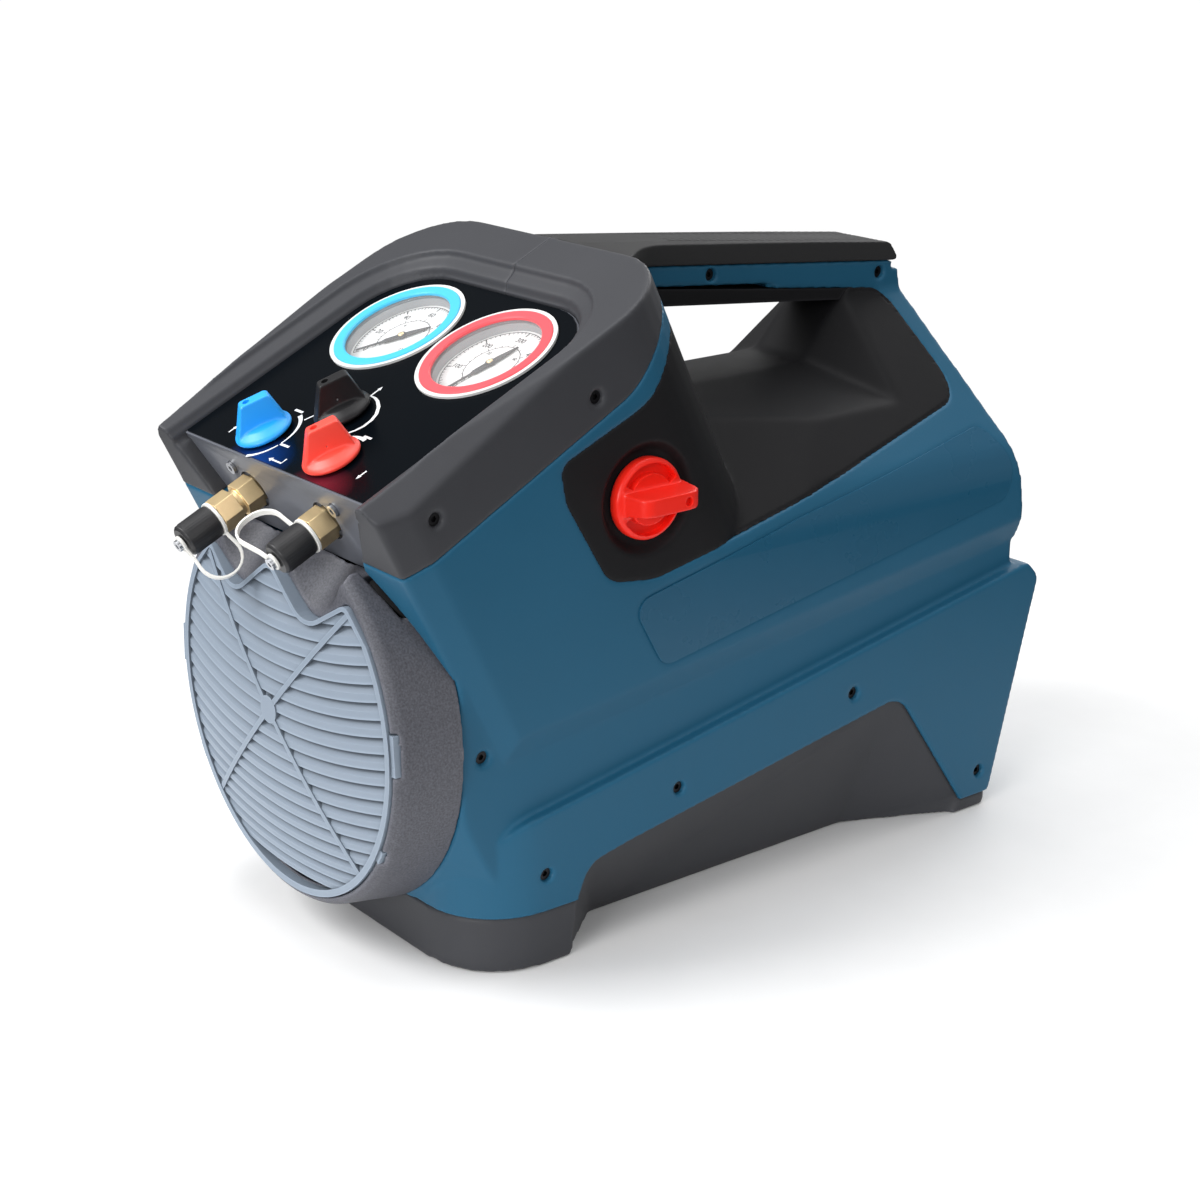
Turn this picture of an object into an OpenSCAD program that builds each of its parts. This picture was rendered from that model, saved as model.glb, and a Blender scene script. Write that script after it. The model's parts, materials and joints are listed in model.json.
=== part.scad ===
// Portable refrigerant recovery machine: moulded carrying case with a louvred fan front,
// a tilted control panel with two gauges and three valve knobs, two capped flare ports,
// a rotary power switch on the side, and a motor, fan, compressor and coil inside.
// Side-view places are written as [distance behind the grille plane, height above the floor].

/* [Case] */
// Width across the plain lower sides of the case
body_w = 202; // [196:1:212]
// How far the raised side pads stand out of the plain sides
pad_rise = 4; // [2:0.5:6]
// How far the lower flange stands out of the plain sides
flange_rise = 7; // [5:0.5:9]
// Distance from the grille plane to the rear face of the case
body_len = 404; // [390:1:425]
// Wall thickness of the mouldings
wall = 3; // [2:0.25:4]
// Height of the front feet
foot_h = 28; // [24:1:32]
// Height of the strip under the rear feet
heel_h = 7; // [5:0.5:9]
// Corner radius of the front foot
foot_r = 40; // [30:1:46]
// How far the base is drawn in between the feet
waist_in = 31; // [25:1:36]
// Slope of the lower flange along the side
rake = 10.1; // [9:0.1:11]
// Slope of the lower edge of the raised pads
pad_rake = 7.3; // [6.5:0.1:8]

/* [Control head] */
// Tilt of the control panel
panel_tilt = 25.5; // [23:0.5:28]
// Height of the front edge of the control panel
panel_z = 239; // [235:1:244]
// Length of the control head along the panel slope
head_len = 187; // [180:1:194]
// Corner radius at the back of the control head
head_r = 46; // [38:1:52]
// Half width of the sunk control panel
panel_half = 83; // [79:0.5:86]
// Length of the sunk control panel along its slope
panel_len = 150; // [147:1:156]
// Height of the hood rim above the control panel
rim_h = 10; // [7:0.5:13]
// Depth of the port plate below the control panel
plate_drop = 46; // [40:1:50]

/* [Gauges and knobs] */
// Radius of the gauge case
gauge_r = 31.5; // [28:0.5:33]
// Depth of the gauge case behind the panel
gauge_depth = 26; // [20:1:30]
// Half distance between the gauges
gauge_x = 37.8; // [37:0.2:41]
// Gauge centre along the panel slope
gauge_v = 107.5; // [104:0.5:110]
// Radius of a valve knob skirt
knob_r = 14.5; // [12:0.5:16]
// Height of a valve knob
knob_h = 18; // [15:1:24]
// Half distance between the inlet and outlet knobs
knob_x = 30.5; // [28:0.5:34]
// Place of the inlet and outlet knobs along the slope
knob_v = 17; // [16:0.5:20]
// Place of the mode knob along the slope
mode_v = 45; // [43:0.5:50]
// Radius of a valve stem
stem_r = 4; // [3:0.25:5]

/* [Ports] */
// Half distance between the flare ports
port_x = 33; // [30:0.5:36]
// Distance of the ports below the control panel
port_drop = 22.4; // [20:0.2:25]
// Width across the flats of the port hexagon
hex_af = 16; // [14:0.5:18]
// Outer radius of the flare thread
flare_r = 5.55; // [5:0.05:6]
// Length of the inlet fitting from the plate to the thread
inlet_hex = 24; // [20:1:28]
// Length of the outlet fitting from the plate to the thread
outlet_hex = 11; // [9:0.5:14]
// Radius of a port cap
cap_r = 8.2; // [7.5:0.1:9.5]
// Length of a port cap
cap_len = 18; // [15:0.5:22]

/* [Fan front] */
// Height of the fan axis above the floor
axis_z = 119.6; // [117:0.2:122]
// Radius of the grille
grille_r = 95; // [92:0.5:96]
// Width of the shroud's front edge round the grille
shroud_rim = 5; // [4:0.5:7]
// How much the shroud widens towards its back edge
shroud_flare = 4.5; // [3:0.5:6]
// Depth of the shroud
shroud_len = 34; // [30:0.5:36]
// Radius of the troughs that the shroud has under the ports
trough_r = 25; // [22:0.5:27]
// Slope of the troughs
trough_slope = 48; // [46:0.5:50]
// Crown of the domed grille
grille_crown = 8; // [5:0.5:10]
// Number of louvres
louvre_count = 23; // [18:1:26]
// Distance from the edge of the grille to the blade tips of the fan
fan_inset = 11; // [9:1:19]
// Number of fan blades
blade_count = 7; // [5:1:9]
// Radius of the motor
motor_r = 54; // [46:1:58]
// Length of the motor
motor_len = 104; // [90:1:112]
// Radius of the motor shaft
shaft_r = 6; // [5:0.5:8]

/* [Handle and switch] */
// Half width of the handle
handle_half = 20; // [17:0.5:23]
// Height of the handle above the floor at its front
handle_z = 325; // [322:1:330]
// Fall of the handle towards the rear
handle_fall = 5.4; // [4.5:0.1:6.5]
// Height of the saddle under the handle
saddle_z = 247.5; // [240:0.5:252]
// Radius of the power knob
power_r = 20; // [17:0.5:22]
// Height of the power knob
power_h = 20; // [16:1:24]
// Power knob place behind the grille plane
power_u = 141; // [138:0.5:145]
// Power knob height above the floor
power_z = 222; // [219:0.5:224]

/* [Fits] */
// Radial running clearance of shafts and stems
run_gap = 0.06; // [0.03:0.01:0.1]
// Clearance between a moving piece and what it passes
free_gap = 0.6; // [0.4:0.1:1]
// Radius of a case screw head
screw_r = 3.2; // [2.6:0.1:3.6]

/* [Hidden] */
$fn = 64;

base_front = 36;
base_rear = body_len - 16;
grille_y = -(base_front + base_rear) / 2;
side_x = body_w / 2;
pad_x = side_x + pad_rise;
flange_x = side_x + flange_rise;
foot_x = flange_x - 0.5;
waist = flange_x - waist_in;
shroud_r = grille_r + shroud_rim;
shroud_back_r = shroud_r + shroud_flare;
fan_r = grille_r - fan_inset;
tilt_s = sin(panel_tilt);
tilt_c = cos(panel_tilt);
cheek = 8;
chamfer_len = 15;
chamfer_depth = pad_rise + 1;
petrol = [0.11, 0.30, 0.41];
charcoal = [0.13, 0.13, 0.14];
brass = [0.78, 0.62, 0.32];
screw_black = [0.08, 0.08, 0.09];

// Rounded outlines: each point is [x, y, corner radius]
function xy(p) = [p[0], p[1]];
function unit(v) = v / norm(v);
function turn(a) = a > 180 ? a - 360 : a < -180 ? a + 360 : a;
function corner(p, q, s, r, n) =
  let (a = unit(p - q), b = unit(s - q), half = acos(a * b) / 2)
  let (c = q + unit(a + b) * r / sin(half), t = r / tan(half))
  let (from = q + a * t - c, to = q + b * t - c)
  let (a0 = atan2(from[1], from[0]), da = turn(atan2(to[1], to[0]) - a0))
  [for (i = [0:n]) c + r * [cos(a0 + da * i / n), sin(a0 + da * i / n)]];
function rounded(p, n = 6) =
  let (m = len(p))
  [for (i = [0:m - 1]) each p[i][2] > 0
    ? corner(xy(p[(i + m - 1) % m]), xy(p[i]), xy(p[(i + 1) % m]), p[i][2], n)
    : [xy(p[i])]];
// A counter-clockwise outline moved inwards by d
function inset(p, d) =
  let (m = len(p))
  [for (i = [0:m - 1])
    let (e = unit(xy(p[i]) - xy(p[(i + m - 1) % m])), f = unit(xy(p[(i + 1) % m]) - xy(p[i])))
    let (a = [-e[1], e[0]], b = [-f[1], f[0]], q = xy(p[i]) + d * (a + b) / (1 + a * b))
    [q[0], q[1], p[i][2] > 0 ? max(0.4, p[i][2] + (cross(e, f) > 0 ? -d : d)) : 0]];
function mirrored(p) = concat(p, [for (i = [len(p) - 1:-1:0]) [-p[i][0], p[i][1], p[i][2]]]);

// Places on the tilted panel, as side-view points
function panel_point(v, h) = [v * tilt_c - h * tilt_s, panel_z + v * tilt_s + h * tilt_c];
function handle_top(u) = handle_z - (u - 180) * tan(handle_fall);
function flange_line(u) = 95 + (u - 173) * tan(rake);
function pad_line(u) = 113 + (u - 77) * tan(pad_rake);

module side(x0, x1) {
  translate([0, grille_y, 0]) rotate([90, 0, 90]) translate([0, 0, x0]) linear_extrude(x1 - x0) children();
}
module front(u0, u1) {
  translate([0, grille_y + u1, 0]) rotate([90, 0, 0]) linear_extrude(u1 - u0) children();
}
module plan(z0, z1) {
  translate([0, grille_y, z0]) linear_extrude(z1 - z0) children();
}
module on_panel(x = 0, v = 0, h = 0) {
  translate([0, grille_y, panel_z]) rotate([panel_tilt, 0, 0]) translate([x, v, h]) children();
}
module on_port(x) {
  on_panel(x, 0, -port_drop) rotate([90, 0, 0]) children();
}
module on_side(u, z, x) {
  translate([x, grille_y + u, z]) rotate([90, 0, 90]) children();
}
module on_axis(u) {
  translate([0, grille_y + u, axis_z]) rotate([-90, 0, 0]) children();
}
module both_sides() {
  children();
  mirror([1, 0, 0]) children();
}
module ring(r_out, r_in, h) {
  difference() {
    cylinder(r = r_out, h = h);
    translate([0, 0, -1]) cylinder(r = r_in, h = h + 2);
  }
}

// Case envelope

handle_end = body_len - 24;
bar_top = 11.2;
bar_low = 22;
port_hole_r = 7;
bay_low = 58;
seat = 0.3;
screw_sink = 5;
screw_head_h = 2.4;
socket_depth = 1.4;
tray = 4;

// Control head, seen square to the panel
head_outline = mirrored([
  [pad_x - chamfer_depth, -cheek, 3], [pad_x, chamfer_len - cheek, 12], [pad_x, head_len, head_r]
]);
panel_outline = mirrored([[panel_half, 0, 0], [panel_half, panel_len, 38]]);
// Rear half in cross-section: a roof that falls from the handle to the sides
roof_outline = mirrored([
  [pad_x, 60, 0], [pad_x, 197, 36], [handle_half, 279, 8], [handle_half, handle_top(handle_end) - 16, 0]
]);
// Cross-section of the raised pads: their lower edge is chamfered
pad_section = [
  [-pad_x, 8, 0], [-side_x, -4, 0], [side_x, -4, 0], [pad_x, 8, 0], [pad_x, 400, 0], [-pad_x, 400, 0]
];
// Rear edge of the case above the flange
rear_outline = [
  [-60, 20, 0], [body_len - 2, 20, 0], [body_len + 2, 170, 40], [body_len - 16, 292, 0],
  [body_len - 40, 420, 0],
  [-60, 420, 0]
];
// Plain lower body behind the shroud
lower_outline = [
  [shroud_len, 20, 0], [base_rear - 8, 20, 0], [body_len - 1, 110, 0],
  [body_len - 1, pad_line(body_len) + 12, 0],
  [96, pad_line(96) + 12, 0], [60, 200, 0], [shroud_len, 212, 0]
];
// Lower flange, from the groove line down to the floor strip
flange_outline = [
  [base_front, heel_h, 0], [base_rear, heel_h, 4], [body_len + 15, 128, 8],
  [body_len + 6, flange_line(body_len + 6), 5], [96, flange_line(96), 70], [64, 76, 30], [42, 58, 20],
  [base_front, 55, 0]
];
// Arch between the feet
arch_outline = [
  [93, -3, 0], [96.5, foot_h, 8], [104, 45, 14], [128, 50, 40], [body_len - 90, 81, 17],
  [body_len - 39, heel_h + 0.8, 0], [body_len - 46, -3, 0]
];
// Lower edge of the hood on the side of the control head
hood_edge = [
  [-60, 175, 0], [20, 214.5, 0], [132, 274, 40], [157, 304, 16], [172, 317, 8], [210, 318, 0],
  [210, 420, 0],
  [-60, 420, 0]
];
// Black inset on each side, which the liner fills
inset_outline = [
  [90, 246, 7], [93, 228, 20], [118, 185, 16], [146, 181.5, 30], [body_len - 18, 228, 14],
  [handle_end - 4, handle_top(handle_end) - bar_low - 4, 14], [178, handle_top(178) - bar_low, 10],
  [162, 294, 18], [142, 268, 40]
];

// Shallow recess for a label on each side
label_depth = 0.7;
label_outline = [
  [131.5, 171, 8], [151, 135.5, 9], [body_len - 14, 177, 9], [body_len - 6, 196, 20],
  [body_len - 17, 215, 9],
  [240, 193.5, 60]
];

module head_block(d, drop = 170) {
  on_panel(0, 0, -drop) linear_extrude(drop + rim_h - d) polygon(rounded(inset(head_outline, d), 8));
}
module roof_block(d) {
  front(150, body_len + 20) polygon(rounded(inset(roof_outline, d)));
}
module upper_body(d) {
  intersection() {
    union() {
      head_block(d);
      roof_block(d);
    }
    side(-pad_x, pad_x) polygon(rounded(inset(rear_outline, d)));
    translate([0, grille_y + 77, pad_line(77)]) rotate([90 + pad_rake, 0, 0]) translate([0, 0, -500])
      linear_extrude(800) polygon(rounded(inset(pad_section, d)));
  }
}
module lower_body(d) {
  intersection() {
    side(-(side_x - d), side_x - d) polygon(rounded(inset(lower_outline, d)));
    on_axis(shroud_len - 1) cylinder(r1 = shroud_back_r - d, r2 = shroud_back_r - d + 420, h = 420);
  }
}
function foot_plan(u1, x, r = 6)
  = [[-x, base_front, foot_r], [x, base_front, foot_r], [x, u1, r], [-x, u1, r]];
module flange_body(d) {
  intersection() {
    side(-(flange_x - d), flange_x - d) polygon(rounded(inset(flange_outline, d)));
    plan(-1, 200) polygon(rounded(inset(foot_plan(body_len + 20, flange_x), d), 10));
  }
}
module case_envelope(d) {
  upper_body(d);
  lower_body(d);
  flange_body(d);
}
// Room in front of the port plate, between the cheeks of the control head
module port_bay(gap, v0, v1) {
  top = panel_half + gap;
  low = bay_low + gap;
  on_panel(0, v1, 0) rotate([90, 0, 0]) linear_extrude(v1 - v0)
    polygon([[-low, -plate_drop - gap], [low, -plate_drop - gap], [top, 0], [top, 40], [-top, 40],
      [-top, 0]]);
}
// Space that the fan shroud takes up
module shroud_room(gap) {
  on_axis(-60) cylinder(r = shroud_back_r + gap, h = 60 + shroud_len);
}
module label_recess() {
  difference() {
    side(60, 130) polygon(rounded(label_outline));
    upper_body(label_depth);
  }
}
module arch_cut(x0, x1) {
  side(x0, x1) polygon(rounded(arch_outline));
}
// Slots that let the cooling air out at the back
module rear_slots() {
  for (i = [0:6])
    translate([12, grille_y + body_len - 60, 152 + 11 * i]) cube([62 - 7 * max(0, i - 3), 80, 4.5]);
}
module on_rear(z) {
  lean = atan2(body_len + 15 - base_rear, 128 - heel_h);
  translate([0, grille_y + base_rear + (z - heel_h) * tan(lean), z]) rotate([-90 - lean, 0, 0]) children();
}
module inlet_pocket() {
  on_rear(inlet_z) translate([-inlet_w / 2, -inlet_d / 2, -40]) cube([inlet_w, inlet_d, 60]);
}
module fan_hole() {
  on_axis(0) cylinder(r = fan_r + 3, h = fan_u + fan_depth + 3);
}

// Screws, as [distance behind the grille plane, height]
flange_screws = [[78, 47], [160, 70], [body_len - 125, 91.4], [body_len - 25, 21]];
deep_screw = [47, 113];
hood_screw_places = [[21.4, 233.8], [111, 275]];
handle_screw_places = [[252, handle_top(252) - 16.5], [handle_end - 6, handle_top(handle_end) - 17]];
module screw_pit(p, x) {
  on_side(p[0], p[1], x - screw_sink) cylinder(r = screw_r + seat, h = screw_sink + 10);
}
module screw_boss(p, x) {
  on_side(p[0], p[1], x - screw_sink - wall) cylinder(r = screw_r + 3, h = screw_sink + wall - 0.5);
}
module screw_head(p, x) {
  on_side(p[0], p[1], x - screw_sink) difference() {
    cylinder(r = screw_r, h = screw_head_h);
    translate([0, 0, screw_head_h - socket_depth]) cylinder(r = screw_r * 0.5, h = 3, $fn = 6);
  }
}

// Side panels: two mirrored half shells with half of the handle beam
module handle_bar() {
  side(0, handle_half) polygon([
    [158, handle_top(158) - bar_low], [handle_end, handle_top(handle_end) - bar_low],
    [handle_end + 4, handle_top(handle_end + 4) - bar_top], [158, handle_top(158) - bar_top]
  ]);
}
module side_half() {
  difference() {
    union() {
      difference() {
        case_envelope(0);
        difference() {
          case_envelope(wall);
          for (p = flange_screws) screw_boss(p, flange_x);
          screw_boss(deep_screw, side_x);
          port_bay(seat + wall, -60, tray);
        }
      }
      handle_bar();
    }
    translate([-300, -400, -10]) cube([300, 900, 500]);
    side(-1, 200) polygon(rounded(hood_edge));
    side(-1, 200) polygon(rounded(inset_outline));
    label_recess();
    port_bay(seat, -60, tray + seat);
    shroud_room(seat);
    fan_hole();
    arch_cut(-1, 200);
    plan(-1, heel_h + wall + 1) polygon(rounded(inset(foot_plan(base_rear, flange_x, 0), wall), 10));
    plan(-1, foot_h) polygon([[-1, 0], [200, 0], [200, 97], [-1, 97]]);
    rear_slots();
    inlet_pocket();
    for (p = flange_screws) screw_pit(p, flange_x);
    screw_pit(deep_screw, side_x);
    for (p = handle_screw_places) screw_pit(p, handle_half);
  }
}
module side_panel_right() {
  color(petrol) side_half();
}
module side_panel_left() {
  color(petrol) mirror([1, 0, 0]) side_half();
}

// Hood: raised rim round the control panel, in two halves
// Steps of the rim's inner side, as [distance outside the panel, height]
rim_steps = [[1, 0.8], [3, rim_h - 5.4], [9.5, rim_h - 3], [11, rim_h + 0.2]];
// Slanting facet along each side of the rim: where it starts, how steep it falls and how it turns
facet_in = 11;
facet_v = 40;
facet_fall = 40;
facet_skew = 8;
module panel_step(grow, h0, h1) {
  on_panel(0, 0, h0) linear_extrude(h1 - h0) polygon(rounded(mirrored([
    [panel_half + grow, -60, 0], [panel_half + grow, panel_len + grow, 38 + grow]
  ]), 8));
}
module hood_half() {
  difference() {
    intersection() {
      head_block(0);
      side(-1, 200) polygon(rounded(hood_edge));
      translate([0, -400, 0]) cube([300, 900, 500]);
    }
    panel_step(seat, -tray - seat, rim_h + 5);
    for (i = [0:len(rim_steps) - 2]) hull() {
      panel_step(rim_steps[i][0], rim_steps[i][1], rim_steps[i][1] + 0.1);
      panel_step(rim_steps[i + 1][0], rim_steps[i + 1][1], rim_steps[i + 1][1] + 0.1);
    }
    on_panel(panel_half + facet_in, facet_v, rim_h) rotate([0, facet_fall, -facet_skew])
      translate([-100, -200, 0]) cube([200, 400, 60]);
    intersection() {
      panel_step(-5, -20, 0);
      on_panel(-150, tray + seat, -30) cube([300, 300, 60]);
    }
    difference() {
      head_block(wall);
      on_panel(-150, -60, -tray - wall - seat) cube([300, 400, 60]);
      for (p = hood_screw_places) screw_boss(p, pad_x);
      port_bay(seat + wall, -60, tray);
    }
    port_bay(seat, -60, tray + seat);
    shroud_room(seat);
    for (p = hood_screw_places) screw_pit(p, pad_x);
  }
}
module hood_right() {
  color(charcoal) hood_half();
}
module hood_left() {
  color(charcoal) mirror([1, 0, 0]) hood_half();
}

// Control panel: sunk tray with the port plate along its front edge
overlay_t = 0.8;
plate_screw_x = 46;
plate_screw_drop = 12.5;
plate_screw_sink = 2;
plate_screw_h = 3.6;
module panel_holes() {
  for (s = [-1, 1]) {
    on_panel(s * gauge_x, gauge_v, -20) cylinder(r = gauge_r + seat, h = 30);
    on_panel(s * knob_x, knob_v, -20) cylinder(r = stem_r + free_gap, h = 30);
  }
  on_panel(0, mode_v, -20) cylinder(r = stem_r + free_gap, h = 30);
}
module on_plate_screws() {
  for (s = [-1, 1]) on_panel(s * plate_screw_x, 0, -plate_screw_drop) rotate([90, 0, 0]) children();
}
module control_panel() {
  color(charcoal) difference() {
    union() {
      on_panel(0, 0, -tray) linear_extrude(tray - overlay_t) polygon(rounded(panel_outline, 8));
      intersection() {
        port_bay(0, 0, tray);
        on_panel(-150, -5, -100) cube([300, 300, 100 - overlay_t]);
      }
    }
    panel_holes();
    for (s = [-1, 1]) on_port(s * port_x) translate([0, 0, -9]) cylinder(r = port_hole_r + seat, h = 12);
    on_plate_screws() translate([0, 0, -plate_screw_sink]) cylinder(r = screw_r + seat, h = 10);
  }
}
module panel_overlay() {
  color([0.03, 0.03, 0.04]) difference() {
    on_panel(0, 0, -overlay_t) linear_extrude(overlay_t) polygon(rounded(inset(panel_outline, 1), 8));
    panel_holes();
  }
}

// Gauges: case, white trim, coloured bezel, dial, needle and lens
dial_h = -7;
lens_h = -1.7;
case_wall = 3.2;
lens_ledge = 2;
needle_r = 1;
module gauge_case() {
  difference() {
    translate([0, 0, -gauge_depth]) cylinder(r = gauge_r, h = gauge_depth);
    translate([0, 0, -gauge_depth + 2]) ring(gauge_r - case_wall, 6, gauge_depth);
    translate([0, 0, dial_h]) cylinder(r = gauge_r - case_wall, h = gauge_depth);
    translate([0, 0, lens_h - 0.1]) cylinder(r = gauge_r - lens_ledge, h = gauge_depth);
    translate([0, 0, dial_h - 8]) cylinder(r = needle_r + run_gap, h = 20);
  }
}
module gauge_trim() {
  translate([0, 0, 0.1]) ring(gauge_r + 4.7, gauge_r + 2.6, 1.2);
}
module gauge_bezel() {
  rotate_extrude() polygon([
    [gauge_r - case_wall, 0.1], [gauge_r + 2.5, 0.1], [gauge_r + 2.5, 1.5], [gauge_r + 2.1, 1.9],
    [gauge_r - case_wall + 0.6, 1.9], [gauge_r - case_wall, 1.3]
  ]);
}
module gauge_dial() {
  translate([0, 0, dial_h]) ring(gauge_r - case_wall - 0.1, 1.6, 1);
}
// A thin pointer over a broad tail
module gauge_needle(angle) {
  tip = gauge_r - 6.5;
  rotate(angle) {
    translate([0, 0, dial_h - 6]) cylinder(r = needle_r, h = 8.6);
    translate([0, 0, dial_h + 1.6]) linear_extrude(0.8) polygon([
      [0.3, tip], [-0.3, tip], [-0.5, 11], [-1.7, 9], [-1.9, 0], [-1.8, -5], [-0.2, -15.5], [0.2, -15.5],
      [1.8, -5], [1.9, 0], [1.7, 9], [0.5, 11]
    ]);
    translate([0, 0, dial_h + 1.6]) cylinder(r = 2.4, h = 1.4);
  }
}
module gauge_lens() {
  translate([0, 0, lens_h]) cylinder(r = gauge_r - lens_ledge - 0.1, h = 1.5);
}
module on_gauge(s) {
  on_panel(s * gauge_x, gauge_v, 0) children();
}
// Rest angles of the needles
low_zero = 137;
high_zero = 165;
module gauge_case_low() {
  color(charcoal) on_gauge(-1) gauge_case();
}
module gauge_case_high() {
  color(charcoal) on_gauge(1) gauge_case();
}
module gauge_trim_low() {
  color("white") on_gauge(-1) gauge_trim();
}
module gauge_trim_high() {
  color("white") on_gauge(1) gauge_trim();
}
module gauge_bezel_low() {
  color([0.35, 0.80, 0.94]) on_gauge(-1) gauge_bezel();
}
module gauge_bezel_high() {
  color([0.96, 0.37, 0.41]) on_gauge(1) gauge_bezel();
}
module gauge_dial_low() {
  color("white") on_gauge(-1) gauge_dial();
}
module gauge_dial_high() {
  color("white") on_gauge(1) gauge_dial();
}
module gauge_needle_low() {
  color("black") on_gauge(-1) gauge_needle(low_zero);
}
module gauge_needle_high() {
  color("black") on_gauge(1) gauge_needle(high_zero);
}
module gauge_lens_low() {
  color([0.9, 0.95, 1, 0.3]) on_gauge(-1) gauge_lens();
}
module gauge_lens_high() {
  color([0.9, 0.95, 1, 0.3]) on_gauge(1) gauge_lens();
}

// Valve knobs: a flared skirt under a tapered bar
knob_lift = 1;
knob_turn = -113;
stem_top = 9;
stem_low = -24;
module valve_knob(angle) {
  translate([0, 0, knob_lift]) rotate(angle) difference() {
    union() {
      rotate_extrude() polygon([
        [0, 0], [knob_r - 0.6, 0], [knob_r, 0.6], [knob_r, 1.8], [knob_r - 1.2, 3], [knob_r - 5, 5],
        [0, 6.6]
      ]);
      intersection() {
        translate([-20, 0, 0]) rotate([90, 0, 90]) linear_extrude(40) polygon([
          [-4.8, 2], [4.8, 2], [3.6, knob_h], [-3.6, knob_h]
        ]);
        translate([0, 20, 0]) rotate([90, 0, 0]) linear_extrude(40) polygon(rounded([
          [-knob_r + 2, 2, 0], [knob_r - 1, 2, 0], [5, knob_h, 2], [-9.5, knob_h, 2]
        ]));
      }
    }
    translate([0, 0, -1]) cylinder(r = stem_r + 0.02, h = stem_top + 1);
    translate([1.5, 0, knob_h - 0.8]) cylinder(r = 1.1, h = 2);
  }
}
module valve_stem() {
  translate([0, 0, stem_low]) cylinder(r = stem_r, h = knob_lift + stem_top - stem_low);
}
module inlet_knob() {
  color([0, 0.59, 1]) on_panel(-knob_x, knob_v, 0) valve_knob(knob_turn);
}
module outlet_knob() {
  color([1, 0.25, 0.2]) on_panel(knob_x, knob_v, 0) valve_knob(knob_turn);
}
module mode_knob() {
  color(screw_black) on_panel(0, mode_v, 0) valve_knob(knob_turn);
}
module inlet_stem() {
  color("silver") on_panel(-knob_x, knob_v, 0) valve_stem();
}
module outlet_stem() {
  color("silver") on_panel(knob_x, knob_v, 0) valve_stem();
}
module mode_stem() {
  color("silver") on_panel(0, mode_v, 0) valve_stem();
}

// Valve manifold under the panel, behind the port plate
manifold_half = 50;
manifold_v = mode_v + 17;
manifold_low = -port_drop - 18;
port_reach = 13;
module manifold() {
  color([0.7, 0.71, 0.73]) difference() {
    on_panel(-manifold_half, tray, manifold_low)
      cube([2 * manifold_half, manifold_v - tray, -tray - manifold_low]);
    for (s = [-1, 1]) {
      on_panel(s * knob_x, knob_v, stem_low - 1) cylinder(r = stem_r + run_gap, h = 60);
      on_port(s * port_x) translate([0, 0, -port_reach]) cylinder(r = port_hole_r + 0.02, h = 40);
      on_panel(s * line_x, line_v, manifold_low - 1)
        cylinder(r = line_r + 0.02, h = line_top - manifold_low + 1);
    }
    on_panel(0, mode_v, stem_low - 1) cylinder(r = stem_r + run_gap, h = 60);
    on_panel(0, manifold_v, sensor_h) rotate([90, 0, 0]) translate([0, 0, -20])
      cylinder(r = sensor_r + 0.02, h = 26);
  }
}

// Flare ports with screw caps and white tethers
flare_len = 14;
ring_t = 1.6;
eyelet_t = 1.4;
cap_edge = 1.2;
module hex(z0, z1) {
  translate([0, 0, z0]) cylinder(d = hex_af / cos(30), h = z1 - z0, $fn = 6);
}
module flare_port(hex_len, joined) {
  difference() {
    union() {
      translate([0, 0, -port_reach]) cylinder(r = port_hole_r, h = port_reach + 1);
      hex(0, joined ? hex_len * 0.42 : hex_len);
      if (joined) {
        cylinder(r = hex_af * 0.42, h = hex_len);
        hex(hex_len * 0.54, hex_len);
      }
      cylinder(r = flare_r, h = hex_len + flare_len - 3);
      translate([0, 0, hex_len + flare_len - 3]) cylinder(r1 = flare_r, r2 = flare_r - 2.4, h = 3);
    }
    translate([0, 0, -port_reach - 1]) cylinder(r = 2.4, h = 80);
  }
}
module port_cap() {
  difference() {
    union() {
      cylinder(r = cap_r, h = cap_len - cap_edge);
      translate([0, 0, cap_len - cap_edge]) cylinder(r1 = cap_r, r2 = cap_r - cap_edge, h = cap_edge);
    }
    translate([0, 0, -1]) cylinder(r = flare_r + seat + 0.1, h = flare_len);
    translate([0, 0, cap_len - 4]) cylinder(r = 1.5, h = 5);
  }
}
module cap_screw() {
  translate([0, 0, cap_len - 3.5]) cylinder(r = 1.48, h = 3.5 + 2 * seat + eyelet_t);
  translate([0, 0, cap_len + 2 * seat + eyelet_t]) difference() {
    cylinder(r = 3, h = 1.8);
    translate([0, 0, 0.8]) cylinder(r = 1.4, h = 2, $fn = 6);
  }
}
// The ring rides on the thread behind the cap, the eyelet turns under the cap screw
strap_w = 3;
strap_t = 1.2;
module tether(angle, loop) {
  reach = ring_t + cap_len + 3 * seat + eyelet_t;
  root = cap_r + 2.5;
  low = (ring_t - strap_t) / 2;
  high = reach - (eyelet_t - strap_t) / 2;
  outer = [
    [0, low, 0], [root, low, 3], [loop, low - 2, 11], [loop, high + 2, 11], [root, high, 3], [0, high, 0]
  ];
  ring(cap_r + 0.8, flare_r + seat + 0.1, ring_t);
  translate([0, 0, reach - eyelet_t]) ring(4.2, 1.48 + seat, eyelet_t);
  rotate(angle) translate([0, strap_w / 2, 0]) rotate([90, 0, 0]) linear_extrude(strap_w) difference() {
    polygon(rounded(outer));
    polygon(rounded(inset(outer, strap_t)));
    translate([-1, -5]) square([flare_r + 2.4, reach - eyelet_t + 4]);
    translate([-1, -5]) square([4, reach + 10]);
  }
}
inlet_seat = inlet_hex + seat;
outlet_seat = outlet_hex + seat;
module inlet_port() {
  color(brass) on_port(-port_x) flare_port(inlet_hex, true);
}
module outlet_port() {
  color(brass) on_port(port_x) flare_port(outlet_hex, false);
}
module inlet_cap() {
  color(screw_black) on_port(-port_x) translate([0, 0, inlet_seat + ring_t + seat]) port_cap();
}
module outlet_cap() {
  color(screw_black) on_port(port_x) translate([0, 0, outlet_seat + ring_t + seat]) port_cap();
}
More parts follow.
